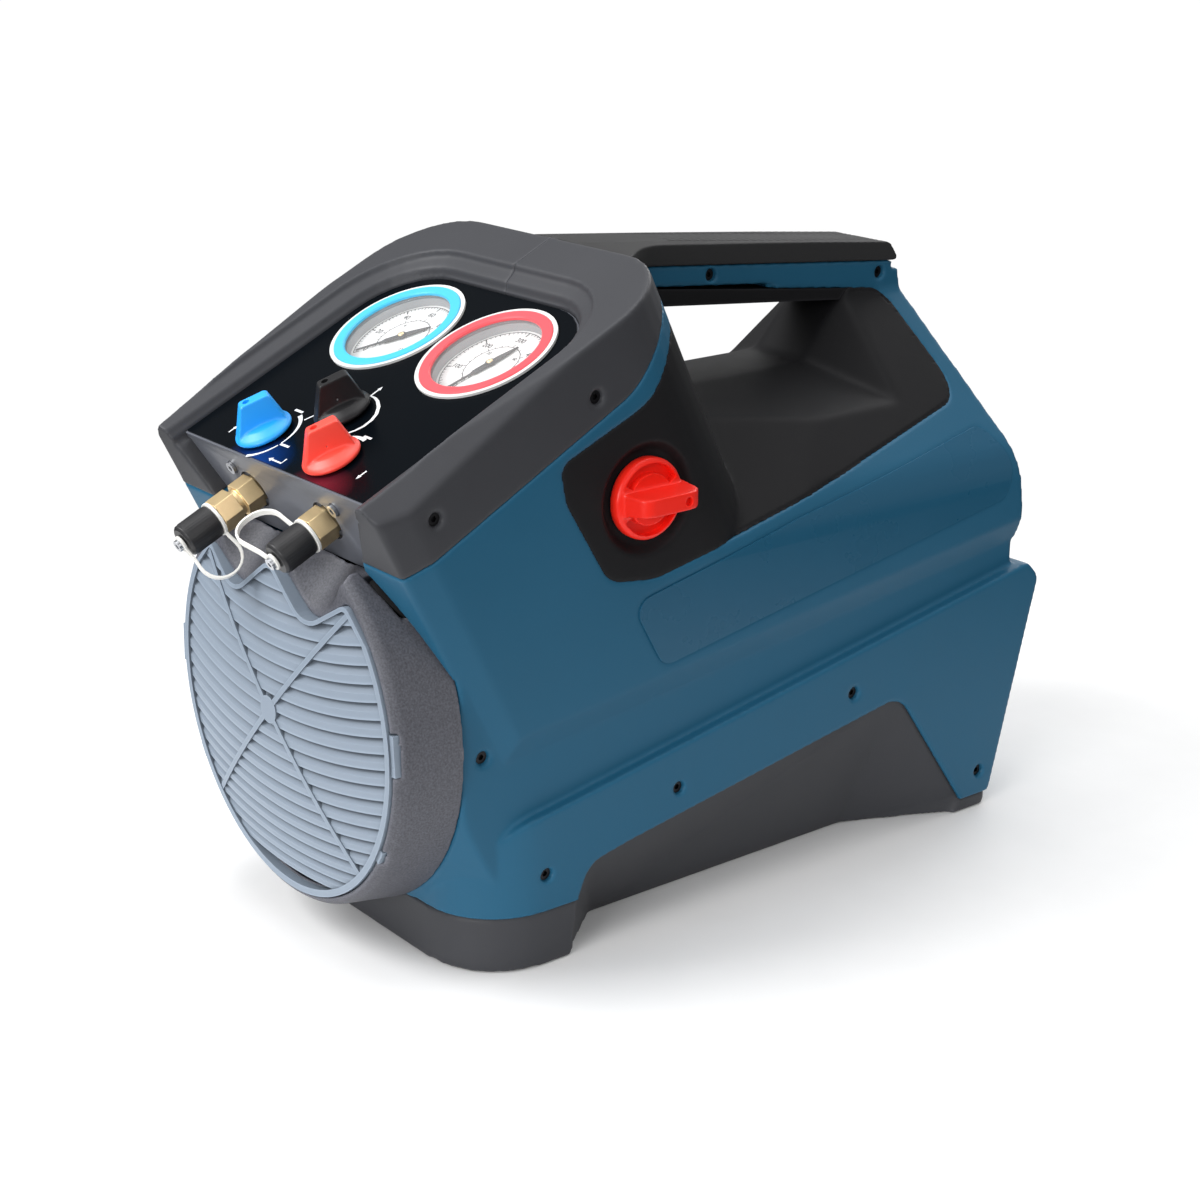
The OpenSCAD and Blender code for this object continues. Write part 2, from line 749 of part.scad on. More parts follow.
module inlet_cap_screw() {
  color("silver") on_port(-port_x) translate([0, 0, inlet_seat + ring_t + seat]) cap_screw();
}
module outlet_cap_screw() {
  color("silver") on_port(port_x) translate([0, 0, outlet_seat + ring_t + seat]) cap_screw();
}
module inlet_tether() {
  color("white") on_port(-port_x) translate([0, 0, inlet_seat]) tether(-50, 27);
}
module outlet_tether() {
  color("white") on_port(port_x) translate([0, 0, outlet_seat]) tether(168, 35);
}

// Fan shroud: a flared ring, with a collar over the grille that has a trough under each port
lip = 4;
collar_front = 0.8;
collar_depth = 10;
ridge_z = axis_z + 76;
ridge_slope = 9;
shoulder_z = axis_z + 69;
trough_wall = 2.5;
dome_r = (grille_r * grille_r + grille_crown * grille_crown) / (2 * grille_crown);
// Wavy lower edge of the collar, which the grille follows
collar_outline = concat(mirrored([
  [port_x, axis_z + 51.4, 16], [port_x + 29, axis_z + 68.9, 6], [port_x + 51, axis_z + 48.4, 0],
  [port_x + 97, axis_z + 48.4, 0], [port_x + 97, axis_z + 120, 0]
]), [[0, axis_z + 75.4, 10]]);
// Places of the grille's tabs round its edge, as [angle, half width, how far they reach out]
grille_tabs = [[3, 10, 3], [177, 10, 3], [-31, 4, 2.4], [-149, 4, 2.4]];
module tabs(gap) {
  for (t = grille_tabs) on_axis(-gap) rotate(-t[0]) translate([grille_r - 3, -t[1] - gap, 0])
    cube([3 + t[2] + gap, 2 * (t[1] + gap), lip + 2 * gap]);
}
module on_trough(s) {
  foot = panel_point(0, -plate_drop);
  translate([s * port_x, grille_y + foot[0], foot[1]]) rotate([trough_slope, 0, 0])
    translate([0, 0, trough_r])
    rotate([90, 0, 0]) translate([0, 0, -60]) children();
}
module shroud_ring(d) {
  on_axis(0) rotate_extrude($fn = 128) polygon([
    [0, -20], [shroud_r - 3 - d, -20], [shroud_r - 3 - d, 0], [shroud_r - d, 4],
    [shroud_back_r - d, shroud_len], [0, shroud_len]
  ]);
}
module front_shroud() {
  color([0.2, 0.2, 0.21]) difference() {
    union() {
      difference() {
        intersection() {
          shroud_ring(0);
          on_axis(0) cylinder(r = 200, h = shroud_len);
        }
        on_axis(-1) cylinder(r = grille_r + 0.6, h = lip + 1);
        on_axis(lip) translate([0, 0, -1]) cylinder(r = grille_r - 4, h = 4);
        on_axis(lip + 2.5) cylinder(r = shroud_r - 4.5, h = shroud_len - lip - 2.5 - wall);
        on_axis(lip) cylinder(r = fan_r + 2, h = shroud_len);
      }
      intersection() {
        on_axis(collar_depth - 1) cylinder(r = shroud_r - 4, h = shroud_len - collar_depth - wall);
        for (s = [-1, 1]) on_trough(s) cylinder(r = trough_r + trough_wall, h = 120);
      }
      intersection() {
        union() {
          front(collar_front, collar_depth) polygon(rounded(collar_outline));
          translate([-200, grille_y + collar_depth - 1, shoulder_z]) cube([400, shroud_len, 100]);
        }
        on_axis(0) cylinder(r = shroud_r - 3.5, h = shroud_len - wall);
      }
    }
    for (s = [-1, 1]) on_trough(s) cylinder(r = trough_r, h = 120);
    translate([-port_x - trough_r, grille_y, ridge_z]) rotate([ridge_slope, 0, 0]) translate([0, -60, 0])
      cube([2 * (port_x + trough_r), 160, 100]);
    port_bay(seat, -seat, 90);
    difference() {
      on_panel(-200, -cheek - seat, -60) cube([400, 300, 200]);
      on_panel(seat - bay_low, -60, -100) cube([2 * (bay_low - seat), 60 - seat, 200]);
    }
    tabs(0.5);
  }
}

// Domed grille: tilted louvres cut from one dome, two crossed ribs and a rim
pitch = 2 * (grille_r - 4) / louvre_count;
louvre_tilt = 58;
louvre_t = 2;
collar_gap = 0.4;
collar_band = 2.2;
module dome(front_d, back_d) {
  intersection() {
    on_axis(dome_r - grille_crown) difference() {
      sphere(r = dome_r - front_d, $fn = 200);
      sphere(r = dome_r - back_d, $fn = 200);
    }
    union() {
      on_axis(-20) cylinder(r = grille_r - 1, h = 20 + lip - 1 - seat);
      on_axis(-20) cylinder(r = grille_r - 4 - seat, h = 40);
    }
  }
}
module intake_grille() {
  color([0.62, 0.66, 0.71]) difference() {
    union() {
      intersection() {
        dome(0.6, 7);
        for (i = [0:louvre_count - 1])
          translate([0, grille_y - grille_crown / 2, axis_z + (i + 0.5 - louvre_count / 2) * pitch])
            rotate([louvre_tilt, 0, 0]) cube([2 * grille_r, 60, louvre_t], center = true);
      }
      intersection() {
        dome(0, 6);
        for (a = [-45, 45]) on_axis(-20) rotate(a) translate([-grille_r, -1.4, 0])
          cube([2 * grille_r, 2.8, 40]);
      }
      intersection() {
        dome(-0.6, 7);
        front(-20, 20) polygon(rounded(inset(collar_outline, -collar_gap - collar_band)));
      }
      on_axis(-grille_crown) cylinder(r = 7, h = 4);
      on_axis(-1) ring(grille_r, grille_r - 3.5, lip + 1 - 0.1);
      tabs(0);
    }
    front(-20, 20) polygon(rounded(inset(collar_outline, -collar_gap)));
  }
}

// Base: feet at both ends, an arched waist and cradles for the motor and compressor
module arch_recess() {
  hull() {
    arch_cut(flange_x - wall - 0.5, flange_x + 5);
    translate([waist, grille_y + 127, -3]) cube([1, body_len - 231, 3]);
  }
}
skirt = wall + seat;
module tub(d) {
  intersection() {
    union() {
      side(-200, 200) polygon(rounded(inset(flange_outline, skirt + d)));
      side(-200, 200) polygon([
        [base_front + skirt + d, d], [base_rear - skirt - d, d], [base_rear - skirt - d, 30],
        [base_front + skirt + d, 30]
      ]);
    }
    plan(d, 100) polygon(rounded(inset(foot_plan(body_len + 20, flange_x), skirt + d), 10));
    side(-200, 200) polygon([[0, d], [500, d], [500, 112], [base_rear, 92], [110, 62], [0, 50]]);
  }
}
module base() {
  color(charcoal) difference() {
    union() {
      difference() {
        union() {
          tub(0);
          plan(0, heel_h) polygon(rounded(foot_plan(base_rear, foot_x), 10));
          intersection() {
            plan(0, foot_h) polygon(rounded(foot_plan(base_rear, foot_x), 10));
            plan(0, foot_h) polygon([[-200, 0], [200, 0], [200, 97], [-200, 97]]);
          }
        }
        difference() {
          tub(wall);
          both_sides() translate([-wall - 1.5, 0, 0]) arch_recess();
        }
      }
      cradle(motor_u + 12);
      cradle(motor_u + motor_len - 28);
      translate([-34, grille_y + comp_u + 8, wall - 1]) cube([68, 54, axis_z - comp_half - wall + 1]);
      translate([cap_x - 14, grille_y + 150, wall - 1]) cube([28, 60, cap_z - 14 - wall]);
    }
    both_sides() {
      arch_recess();
      for (p = flange_screws)
        on_side(p[0], p[1], flange_x - screw_sink - wall - seat) cylinder(r = screw_r + 3 + seat, h = 20);
    }
    inlet_pocket();
    fan_hole();
    on_axis(motor_u - 1) cylinder(r = motor_r + 0.2, h = motor_len + 2);
    translate([cap_x, grille_y + 140, cap_z]) rotate([-90, 0, 0]) cylinder(r = cap_body_r + 0.2, h = 90);
  }
}
module cradle(u) {
  translate([-40, grille_y + u, wall - 1]) cube([80, 16, axis_z - motor_r * 0.75 - wall]);
}

// Liner of the handle opening: front wall, saddle and rear pillar in one moulding
saddle_front_drop = 0.82;
saddle_rear_drop = 0.33;
pillar_u = 318;
pillar_lean = 41.5;
module saddle_section(u, drop, d) {
  x = pad_x + 6;
  top = saddle_z - 1.2 * d;
  edge = top - (x - handle_half) * drop;
  front(u, u + 1)
    polygon([[-x, 90], [x, 90], [x, edge], [handle_half, top], [-handle_half, top], [-x, edge]]);
}
module saddle_block(d) {
  hull() {
    saddle_section(120, saddle_front_drop, d);
    saddle_section(body_len + 10, saddle_rear_drop, d);
  }
}
module pillar(d) {
  translate([0, grille_y + pillar_u, saddle_z]) rotate([-pillar_lean, 0, 0]) translate([0, 0, -150])
    linear_extrude(300)
      polygon(rounded(inset(mirrored([[handle_half - 2, 0, 0], [pad_x, 48, 0], [pad_x, 300, 0]]), d)));
}
module liner_mass(d) {
  intersection() {
    upper_body(d);
    union() {
      head_block(d);
      saddle_block(d);
      pillar(d);
    }
  }
}
module handle_liner() {
  color([0.11, 0.11, 0.12]) difference() {
    union() {
      difference() {
        intersection() {
          liner_mass(0);
          side(-200, 200) polygon(rounded(inset(inset_outline, 0.15)));
        }
        liner_mass(wall);
      }
      intersection() {
        on_side(power_u, power_z, pad_x - 10) cylinder(r = power_r + 10, h = 10);
        side(-200, 200) polygon(rounded(inset(inset_outline, 0.15)));
        head_block(0);
      }
    }
    on_side(power_u, power_z, pad_x - 5) cylinder(r1 = power_r + 3, r2 = power_r + 8, h = 5.5);
    on_side(power_u, power_z, pad_x - 30) cylinder(r = power_shaft_r + run_gap, h = 60);
    handle_bar();
    mirror([1, 0, 0]) handle_bar();
  }
}
// Strip under the handle beam, and the rubber grip on top of it
module handle_underside() {
  color([0.11, 0.11, 0.12]) difference() {
    intersection() {
      side(-handle_half, handle_half) polygon([
        [150, handle_top(150) - bar_low - 10], [handle_end, handle_top(handle_end) - bar_low - 10],
        [handle_end, handle_top(handle_end) - bar_low - 0.2], [150, handle_top(150) - bar_low - 0.2]
      ]);
      side(-200, 200) polygon(rounded(inset(inset_outline, 0.2)));
      front(100, body_len) polygon(rounded([
        [-handle_half + 1, 240, 0], [handle_half - 1, 240, 0], [handle_half - 1, 340, 0],
        [-handle_half + 1, 340, 0]
      ]));
    }
    head_block(-seat);
    pillar(-seat);
  }
}
grip_end = handle_end + 8;
module handle_grip() {
  color([0.1, 0.1, 0.1]) difference() {
    intersection() {
      side(-60, 60) polygon(rounded([
        [150, handle_top(150) - bar_top + 0.2, 0], [grip_end, handle_top(grip_end) - bar_top + 0.2, 2],
        [grip_end - 8, handle_top(grip_end), 6],
        [230, handle_top(230) + 1, 0], [150, handle_top(150) + 1, 0]
      ]));
      plan(250, 360) polygon(rounded(mirrored([
        [46, 120, 0], [46, 172, 16], [handle_half + 1, 206, 40], [handle_half + 1, grip_end + 10, 0]
      ])));
      translate([0, grille_y, 0]) rotate([90 - handle_fall, 0, 0])
        translate([0, handle_top(0) * cos(handle_fall), -500])
        linear_extrude(500)
          polygon(rounded(mirrored([[46, -30, 0], [46, -6, 0], [handle_half - 5, 1.2, 10]])));
    }
    on_panel(-150, -60, -200) cube([300, head_len + 60 + seat, 400]);
    for (s = [-1, 1], k = [0:2])
      translate([s * (7 + 3.4 * k) - 0.6, grille_y, 0]) rotate([-handle_fall, 0, 0])
        translate([0, 196, handle_top(0) * cos(handle_fall) - 1.3]) cube([1.2, handle_end - 212, 10]);
  }
}

// Power switch on the right side
power_shaft_r = 4;
power_seat = pad_x - 5;
module power_knob() {
  color([0.88, 0.16, 0.12]) on_side(power_u, power_z, power_seat + free_gap) difference() {
    union() {
      cylinder(r = power_r, h = 5);
      translate([0, 0, 5]) cylinder(r1 = power_r, r2 = power_r - 1.5, h = 1.5);
      intersection() {
        translate([-40, 0, 0]) rotate([90, 0, 90]) linear_extrude(80) polygon([
          [-6, 3], [6, 3], [4.2, power_h], [-4.2, power_h]
        ]);
        translate([0, 40, 0]) rotate([90, 0, 0]) linear_extrude(80) polygon(rounded([
          [-power_r + 2, 3, 0], [power_r + 1, 3, 0], [power_r + 1, power_h - 4, 3],
          [power_r - 4, power_h, 6],
          [-power_r + 7, power_h, 6]
        ]));
      }
    }
    translate([0, 0, -1]) cylinder(r = power_shaft_r + 0.02, h = 11);
    translate([power_r - 8, 0, power_h - 0.8]) cylinder(r = 1.5, h = 3);
  }
}
module power_shaft() {
  color("silver") on_side(power_u, power_z, pad_x - 26) cylinder(r = power_shaft_r, h = 31 - 5 + free_gap);
}
module power_switch() {
  color([0.25, 0.25, 0.26]) difference() {
    on_side(power_u, power_z, pad_x - 44) translate([-20, -20, 0]) cube([40, 40, 34]);
    on_side(power_u, power_z, pad_x - 27) cylinder(r = power_shaft_r + run_gap, h = 60);
  }
}

// Motor, fan and compressor on one shaft
fan_u = 44;
fan_depth = 22;
motor_u = 84;
comp_u = motor_u + motor_len + 2;
comp_half = 44;
bearing_r = 15;
bearing_w = 10;
module motor_shaft() {
  color("silver") on_axis(fan_u - 2) cylinder(r = shaft_r, h = comp_u - fan_u + 30);
}
module fan() {
  color([0.18, 0.18, 0.2]) difference() {
    union() {
      on_axis(fan_u) cylinder(r = 22, h = fan_depth);
      intersection() {
        on_axis(fan_u) ring(fan_r, 21, fan_depth);
        for (i = [0:blade_count - 1])
          on_axis(fan_u + fan_depth / 2) rotate(360 / blade_count * i) rotate([32, 0, 0])
            translate([15, -24, -1.2]) cube([fan_r, 48, 2.4]);
      }
    }
    on_axis(fan_u - 1) cylinder(r = shaft_r + 0.02, h = fan_depth + 2);
  }
}
module motor() {
  color([0.55, 0.56, 0.58]) difference() {
    union() {
      on_axis(motor_u) cylinder(r = motor_r, h = motor_len);
      for (u = [motor_u, motor_u + motor_len - 10]) on_axis(u) cylinder(r = motor_r, h = 10);
    }
    on_axis(motor_u - 1) cylinder(r = shaft_r + 2, h = motor_len + 2);
    for (u = [motor_u - 1, motor_u + motor_len - bearing_w]) on_axis(u)
      cylinder(r = bearing_r, h = bearing_w + 1);
    for (i = [0:11]) on_axis(motor_u + 14) rotate(30 * i) translate([motor_r, 0, 0])
      cylinder(r = 2.5, h = motor_len - 28);
  }
}
module shaft_bearings() {
  color("silver") for (u = [motor_u, motor_u + motor_len - bearing_w])
    on_axis(u) ring(bearing_r - 0.02, shaft_r + run_gap, bearing_w);
}
module compressor() {
  color([0.62, 0.63, 0.64]) difference() {
    union() {
      translate([-comp_half, grille_y + comp_u, axis_z - comp_half])
        cube([2 * comp_half, 70, 2 * comp_half]);
      for (s = [-1, 1]) translate([s * comp_half, grille_y + comp_u + 35, axis_z]) rotate([0, 90 * s, 0]) {
        cylinder(r = 26, h = 24);
        for (k = [0:3]) translate([0, 0, 4 + 5 * k]) cylinder(r = 31, h = 2);
        translate([-28, -28, 22]) cube([56, 56, 10]);
      }
    }
    on_axis(comp_u - 1) cylinder(r = shaft_r + seat, h = 32);
    for (s = [-1, 1]) translate([s * line_x, grille_y + comp_u + 35, axis_z + comp_half - 8])
      cylinder(r = line_r + 0.02, h = 20);
  }
}
// Finned coil behind the grille, on the back flange of the shroud
coil_half = 56;
coil_depth = 20;
coil_u = shroud_len - wall - coil_depth;
module condenser_coil() {
  color([0.72, 0.6, 0.5]) {
    for (s = [-1, 1]) translate([s * (coil_half + 1) - 1, grille_y + coil_u, axis_z - 68])
      cube([2, coil_depth, 136]);
    for (i = [0:13]) translate([-coil_half + 4 + i * 8.2, grille_y + coil_u + 1, axis_z - 50])
      cube([0.8, coil_depth - 2, 92]);
    for (k = [0:5], r = [0, 1])
      translate([-coil_half, grille_y + coil_u + 5.5 + 9 * r, axis_z - 44 + 16 * k]) rotate([0, 90, 0])
        cylinder(r = 3, h = 2 * coil_half);
  }
}
// Copper lines: slanting down from the manifold, back over the motor and down to the compressor
line_r = 3.2;
elbow_r = line_r * 1.35;
line_x = 24;
line_v = mode_v + 7;
line_top = manifold_low + 6;
line_low = manifold_low - 34;
line_bend = panel_point(line_v, line_low);
line_end = axis_z + comp_half - 8;
module elbow() {
  rotate([0, 90, 0]) translate([0, 0, -elbow_r]) cylinder(r = elbow_r, h = 2 * elbow_r);
}
module refrigerant_lines() {
  color([0.8, 0.5, 0.35]) for (s = [-1, 1]) {
    on_panel(s * line_x, line_v, line_low) cylinder(r = line_r, h = line_top - line_low);
    translate([s * line_x, grille_y + line_bend[0], line_bend[1]]) {
      elbow();
      rotate([-90, 0, 0]) cylinder(r = line_r, h = comp_u + 35 - line_bend[0]);
    }
    translate([s * line_x, grille_y + comp_u + 35, line_bend[1]]) elbow();
    translate([s * line_x, grille_y + comp_u + 35, line_end])
      cylinder(r = line_r, h = line_bend[1] - line_end);
  }
}
sensor_r = 4;
sensor_h = -30;
module pressure_switch() {
  color("silver") on_panel(0, manifold_v, sensor_h) rotate([-90, 0, 0]) {
    translate([0, 0, -6]) cylinder(r = sensor_r, h = 10);
    cylinder(r = 9, h = 3);
    translate([0, 0, 3]) cylinder(r = 11, h = 12);
  }
}
cap_body_r = 19;
cap_x = -(flange_x - 36);
cap_z = 52;
module start_capacitor() {
  color([0.2, 0.2, 0.22]) translate([cap_x, grille_y + 146, cap_z]) rotate([-90, 0, 0]) {
    cylinder(r = cap_body_r, h = 68);
    translate([-8, -1, 68]) cube([2, 4, 7]);
    translate([6, -1, 68]) cube([2, 4, 7]);
  }
}
// Mains inlet at the back
inlet_z = 74;
inlet_w = 48;
inlet_d = 28;
module power_inlet() {
  color(screw_black) on_rear(inlet_z) difference() {
    union() {
      translate([-inlet_w / 2 + 0.1, -inlet_d / 2 + 0.1, -24]) cube([inlet_w - 0.2, inlet_d - 0.2, 25]);
      translate([-inlet_w / 2 - 4, -inlet_d / 2 - 3, 0.1]) cube([inlet_w + 8, inlet_d + 6, 2.5]);
    }
    translate([0, 0, -16]) linear_extrude(30)
      polygon([[-12, -8], [12, -8], [12, 4], [8, 8], [-8, 8], [-12, 4]]);
  }
}

// Fasteners
module case_screws() {
  color(screw_black) both_sides() {
    for (p = flange_screws) screw_head(p, flange_x);
    screw_head(deep_screw, side_x);
  }
}
module hood_screws() {
  color(screw_black) both_sides() for (p = hood_screw_places) screw_head(p, pad_x);
}
module handle_screws() {
  color(screw_black) both_sides() for (p = handle_screw_places) screw_head(p, handle_half);
}
module plate_screws() {
  color("silver") on_plate_screws() translate([0, 0, -plate_screw_sink]) difference() {
    cylinder(r = screw_r, h = plate_screw_h);
    translate([0, 0, plate_screw_h - socket_depth]) cylinder(r = screw_r * 0.5, h = 3, $fn = 6);
  }
}

side_panel_right();
side_panel_left();
hood_right();
hood_left();
control_panel();
panel_overlay();
front_shroud();
intake_grille();
base();
handle_liner();
handle_underside();
handle_grip();
gauge_case_low();
gauge_case_high();
gauge_trim_low();
gauge_trim_high();
gauge_bezel_low();
gauge_bezel_high();
gauge_dial_low();
gauge_dial_high();
gauge_needle_low();
gauge_needle_high();
gauge_lens_low();
gauge_lens_high();
inlet_knob();
outlet_knob();
mode_knob();
inlet_stem();
outlet_stem();
mode_stem();
manifold();
inlet_port();
outlet_port();
inlet_cap();
outlet_cap();
inlet_cap_screw();
outlet_cap_screw();
inlet_tether();
outlet_tether();
power_knob();
power_shaft();
power_switch();
fan();
motor_shaft();
motor();
shaft_bearings();
compressor();
condenser_coil();
refrigerant_lines();
pressure_switch();
start_capacitor();
power_inlet();
case_screws();
hood_screws();
handle_screws();
plate_screws();
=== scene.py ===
"""Looks of a portable refrigerant recovery machine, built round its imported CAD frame."""
import json
import math
import bmesh
import bpy
from mathutils import Matrix, Vector
from mathutils.bvhtree import BVHTree


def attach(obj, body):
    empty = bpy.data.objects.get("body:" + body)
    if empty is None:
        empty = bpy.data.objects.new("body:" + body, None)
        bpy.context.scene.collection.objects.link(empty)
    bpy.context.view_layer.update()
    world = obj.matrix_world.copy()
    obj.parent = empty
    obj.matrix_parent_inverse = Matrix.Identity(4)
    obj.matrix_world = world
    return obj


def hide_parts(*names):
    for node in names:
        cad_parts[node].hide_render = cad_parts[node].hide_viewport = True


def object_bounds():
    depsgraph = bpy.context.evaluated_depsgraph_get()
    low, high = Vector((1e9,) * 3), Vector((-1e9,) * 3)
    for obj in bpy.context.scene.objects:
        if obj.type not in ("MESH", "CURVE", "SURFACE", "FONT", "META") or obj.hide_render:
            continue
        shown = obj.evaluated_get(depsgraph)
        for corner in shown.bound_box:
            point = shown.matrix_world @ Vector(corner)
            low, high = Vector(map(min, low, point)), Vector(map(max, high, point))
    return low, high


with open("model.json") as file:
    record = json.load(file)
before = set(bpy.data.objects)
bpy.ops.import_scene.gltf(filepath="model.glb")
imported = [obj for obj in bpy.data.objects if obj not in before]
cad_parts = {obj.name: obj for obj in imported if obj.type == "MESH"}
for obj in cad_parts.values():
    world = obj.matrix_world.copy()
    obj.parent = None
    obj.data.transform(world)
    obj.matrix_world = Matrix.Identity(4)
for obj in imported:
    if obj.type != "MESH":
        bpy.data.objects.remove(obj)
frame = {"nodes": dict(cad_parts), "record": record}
cad_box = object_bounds()
nodes = frame["nodes"]
record = frame["record"]
body_of = {n: b for b, ns in record["behaviour"]["bodies"].items() for n in ns}
slot_of = {s["node"]: s["material_slot"] for s in record["subparts"]}
scene = bpy.context.scene

# Places, as in the CAD. The control panel has its own axes in millimetres: x, up its slope and off its face
MM = Matrix.Scale(0.001, 4)
GRILLE_Y = -0.212
PANEL_Z = 0.239
PANEL_TILT = math.radians(25.5)
PANEL = Matrix.Translation((0, GRILLE_Y, PANEL_Z)) @ Matrix.Rotation(PANEL_TILT, 4, "X") @ MM
PORT_X = 33
PORT_DROP = 22.4
GAUGES = {"low": (-37.8, 107.5), "high": (37.8, 107.5)}
DIAL_H = -6
HUB_H = -4
KNOBS = {"inlet_knob": (-30.5, 17), "outlet_knob": (30.5, 17), "mode_knob": (0, 45)}
KNOB_TOP = 19
KNOB_TURN = math.radians(-113)
INDEX_HOLE = 1.5

# The power knob: its axis from its seat outwards, the index hole on its bar, and the dish round it
POWER_Y = GRILLE_Y + 0.141
POWER_Z = 0.222
OUTWARD = Matrix.Rotation(math.radians(90), 4, "Y")
POWER_AXIS = Matrix.Translation((0.1006, POWER_Y, POWER_Z)) @ OUTWARD @ MM
POWER_INDEX = Matrix.Translation((0.1206, POWER_Y + 0.012, POWER_Z)) @ OUTWARD @ MM
DISH_R = 0.034
DISH_MIN_X = 0.08

# The inner side of the hood's rim, on the panel's axes
RIM_HALF = 96
RIM_TOP = 163
RIM_FOOT = -1


def at_panel(x, v, h=0):
    """A place on the control panel, in its own axes."""
    return PANEL @ Matrix.Translation((x, v, h))


def at_knob(name):
    """The index hole on top of a valve knob's bar."""
    turn = Matrix.Rotation(KNOB_TURN, 4, "Z")
    return at_panel(*KNOBS[name], KNOB_TOP) @ turn @ Matrix.Translation((INDEX_HOLE, 0, 0))


def at_port(x):
    """The axis of a flare port, from the port plate outwards."""
    return at_panel(x, 0, -PORT_DROP) @ Matrix.Rotation(math.radians(90), 4, "X")


def srgb(r, g, b):
    """A colour written as on screen, 0 to 255, in linear light."""
    def lin(c):
        c /= 255
        return c / 12.92 if c <= 0.04045 else ((c + 0.055) / 1.055) ** 2.4
    return (lin(r), lin(g), lin(b), 1)


# Shader groups that several finishes share

def new_group(name, inputs, outputs):
    g = bpy.data.node_groups.new(name, "ShaderNodeTree")
    for kind, label, value in inputs:
        s = g.interface.new_socket(label, in_out="INPUT", socket_type=kind)
        s.default_value = value
    for kind, label in outputs:
        g.interface.new_socket(label, in_out="OUTPUT", socket_type=kind)
    return g, g.nodes.new("NodeGroupInput"), g.nodes.new("NodeGroupOutput")


FLOAT = "NodeSocketFloat"
COLOR = "NodeSocketColor"
GREY = (0.5, 0.5, 0.5, 1)
EDGE_GAIN = 4.0
METAL_EDGE = 0.0006
CLOUDS_PER_METRE = 22.0
SMEARS_PER_METRE = 140.0


def math_node(g, op, a, b, clamp=False):
    """One operation on two levels, each a number or a socket."""
    n = g.nodes.new("ShaderNodeMath")
    n.operation = op
    n.use_clamp = clamp
    for i, v in enumerate((a, b)):
        if isinstance(v, (int, float)):
            n.inputs[i].default_value = v
        else:
            g.links.new(v, n.inputs[i])
    return n.outputs[0]


def noise(g, scale, detail, rough=0.5):
    """Cloudy noise in the object's own space, with a scale per metre."""
    n = g.nodes.new("ShaderNodeTexNoise")
    n.inputs["Detail"].default_value = detail
    n.inputs["Roughness"].default_value = rough
    if isinstance(scale, (int, float)):
        n.inputs["Scale"].default_value = scale
    else:
        g.links.new(scale, n.inputs["Scale"])
    g.links.new(g.nodes.new("ShaderNodeTexCoord").outputs["Object"], n.inputs["Vector"])
    return n.outputs["Fac"]


def swing(g, level, by):
    """A noise level moved to lie round zero, times a number or a socket."""
    return math_node(g, "MULTIPLY", math_node(g, "SUBTRACT", level, 0.5), by)


def scaled(g, colour, factor):
    """A colour made lighter or darker."""
    n = g.nodes.new("ShaderNodeVectorMath")
    n.operation = "SCALE"
    g.links.new(colour, n.inputs[0])
    g.links.new(factor, n.inputs["Scale"])
    return n.outputs[0]


def edge_mask(g, radius):
    """1 on sharp edges, 0 on flats: how far the rounded normal leaves the true one."""
    bevel = g.nodes.new("ShaderNodeBevel")
    bevel.samples = 4
    if isinstance(radius, float):
        bevel.inputs["Radius"].default_value = radius
    else:
        g.links.new(radius, bevel.inputs["Radius"])
    true = g.nodes.new("ShaderNodeNewGeometry").outputs["Normal"]
    dot = g.nodes.new("ShaderNodeVectorMath")
    dot.operation = "DOT_PRODUCT"
    g.links.new(bevel.outputs[0], dot.inputs[0])
    g.links.new(true, dot.inputs[1])
    turned_away = math_node(g, "SUBTRACT", 1.0, dot.outputs["Value"])
    return math_node(g, "MULTIPLY", turned_away, EDGE_GAIN, clamp=True)


def make_moulding_group():
    """Moulded plastic: pebble grain, a faint cloudiness, and edges painted lighter, partly as wear and partly as
    a painted highlight.
    """
    g, gi, go = new_group(
        "Moulded surface",
        [(COLOR, "Colour", GREY), (FLOAT, "Grain per metre", 900.0), (FLOAT, "Cloud", 0.1),
         (FLOAT, "Roughness", 0.5), (FLOAT, "Edge", 0.2), (FLOAT, "Edge width", 0.0014), (FLOAT, "Speckle", 0.0)],
        [(COLOR, "Colour"), (FLOAT, "Roughness"), (FLOAT, "Height")])
    i = gi.outputs
    grain = noise(g, i["Grain per metre"], 3.0, 0.6)
    cloud = noise(g, CLOUDS_PER_METRE, 4.0, 0.6)
    speck = noise(g, math_node(g, "MULTIPLY", i["Grain per metre"], 1.7), 1.0)
    tone = swing(g, cloud, i["Cloud"])
    dots = swing(g, speck, i["Speckle"])
    # Edges painted lighter: partly wear, partly a painted highlight where a glossy edge would catch the lamps.
    edge_wear_and_sheen = math_node(g, "MULTIPLY", edge_mask(g, i["Edge width"]), i["Edge"])
    level = math_node(g, "ADD", math_node(g, "ADD", 1.0, tone), math_node(g, "ADD", dots, edge_wear_and_sheen))
    g.links.new(scaled(g, i["Colour"], level), go.inputs["Colour"])
    gloss = math_node(g, "ADD", i["Roughness"], swing(g, cloud, 0.16))
    g.links.new(gloss, go.inputs["Roughness"])
    g.links.new(grain, go.inputs["Height"])
    return g


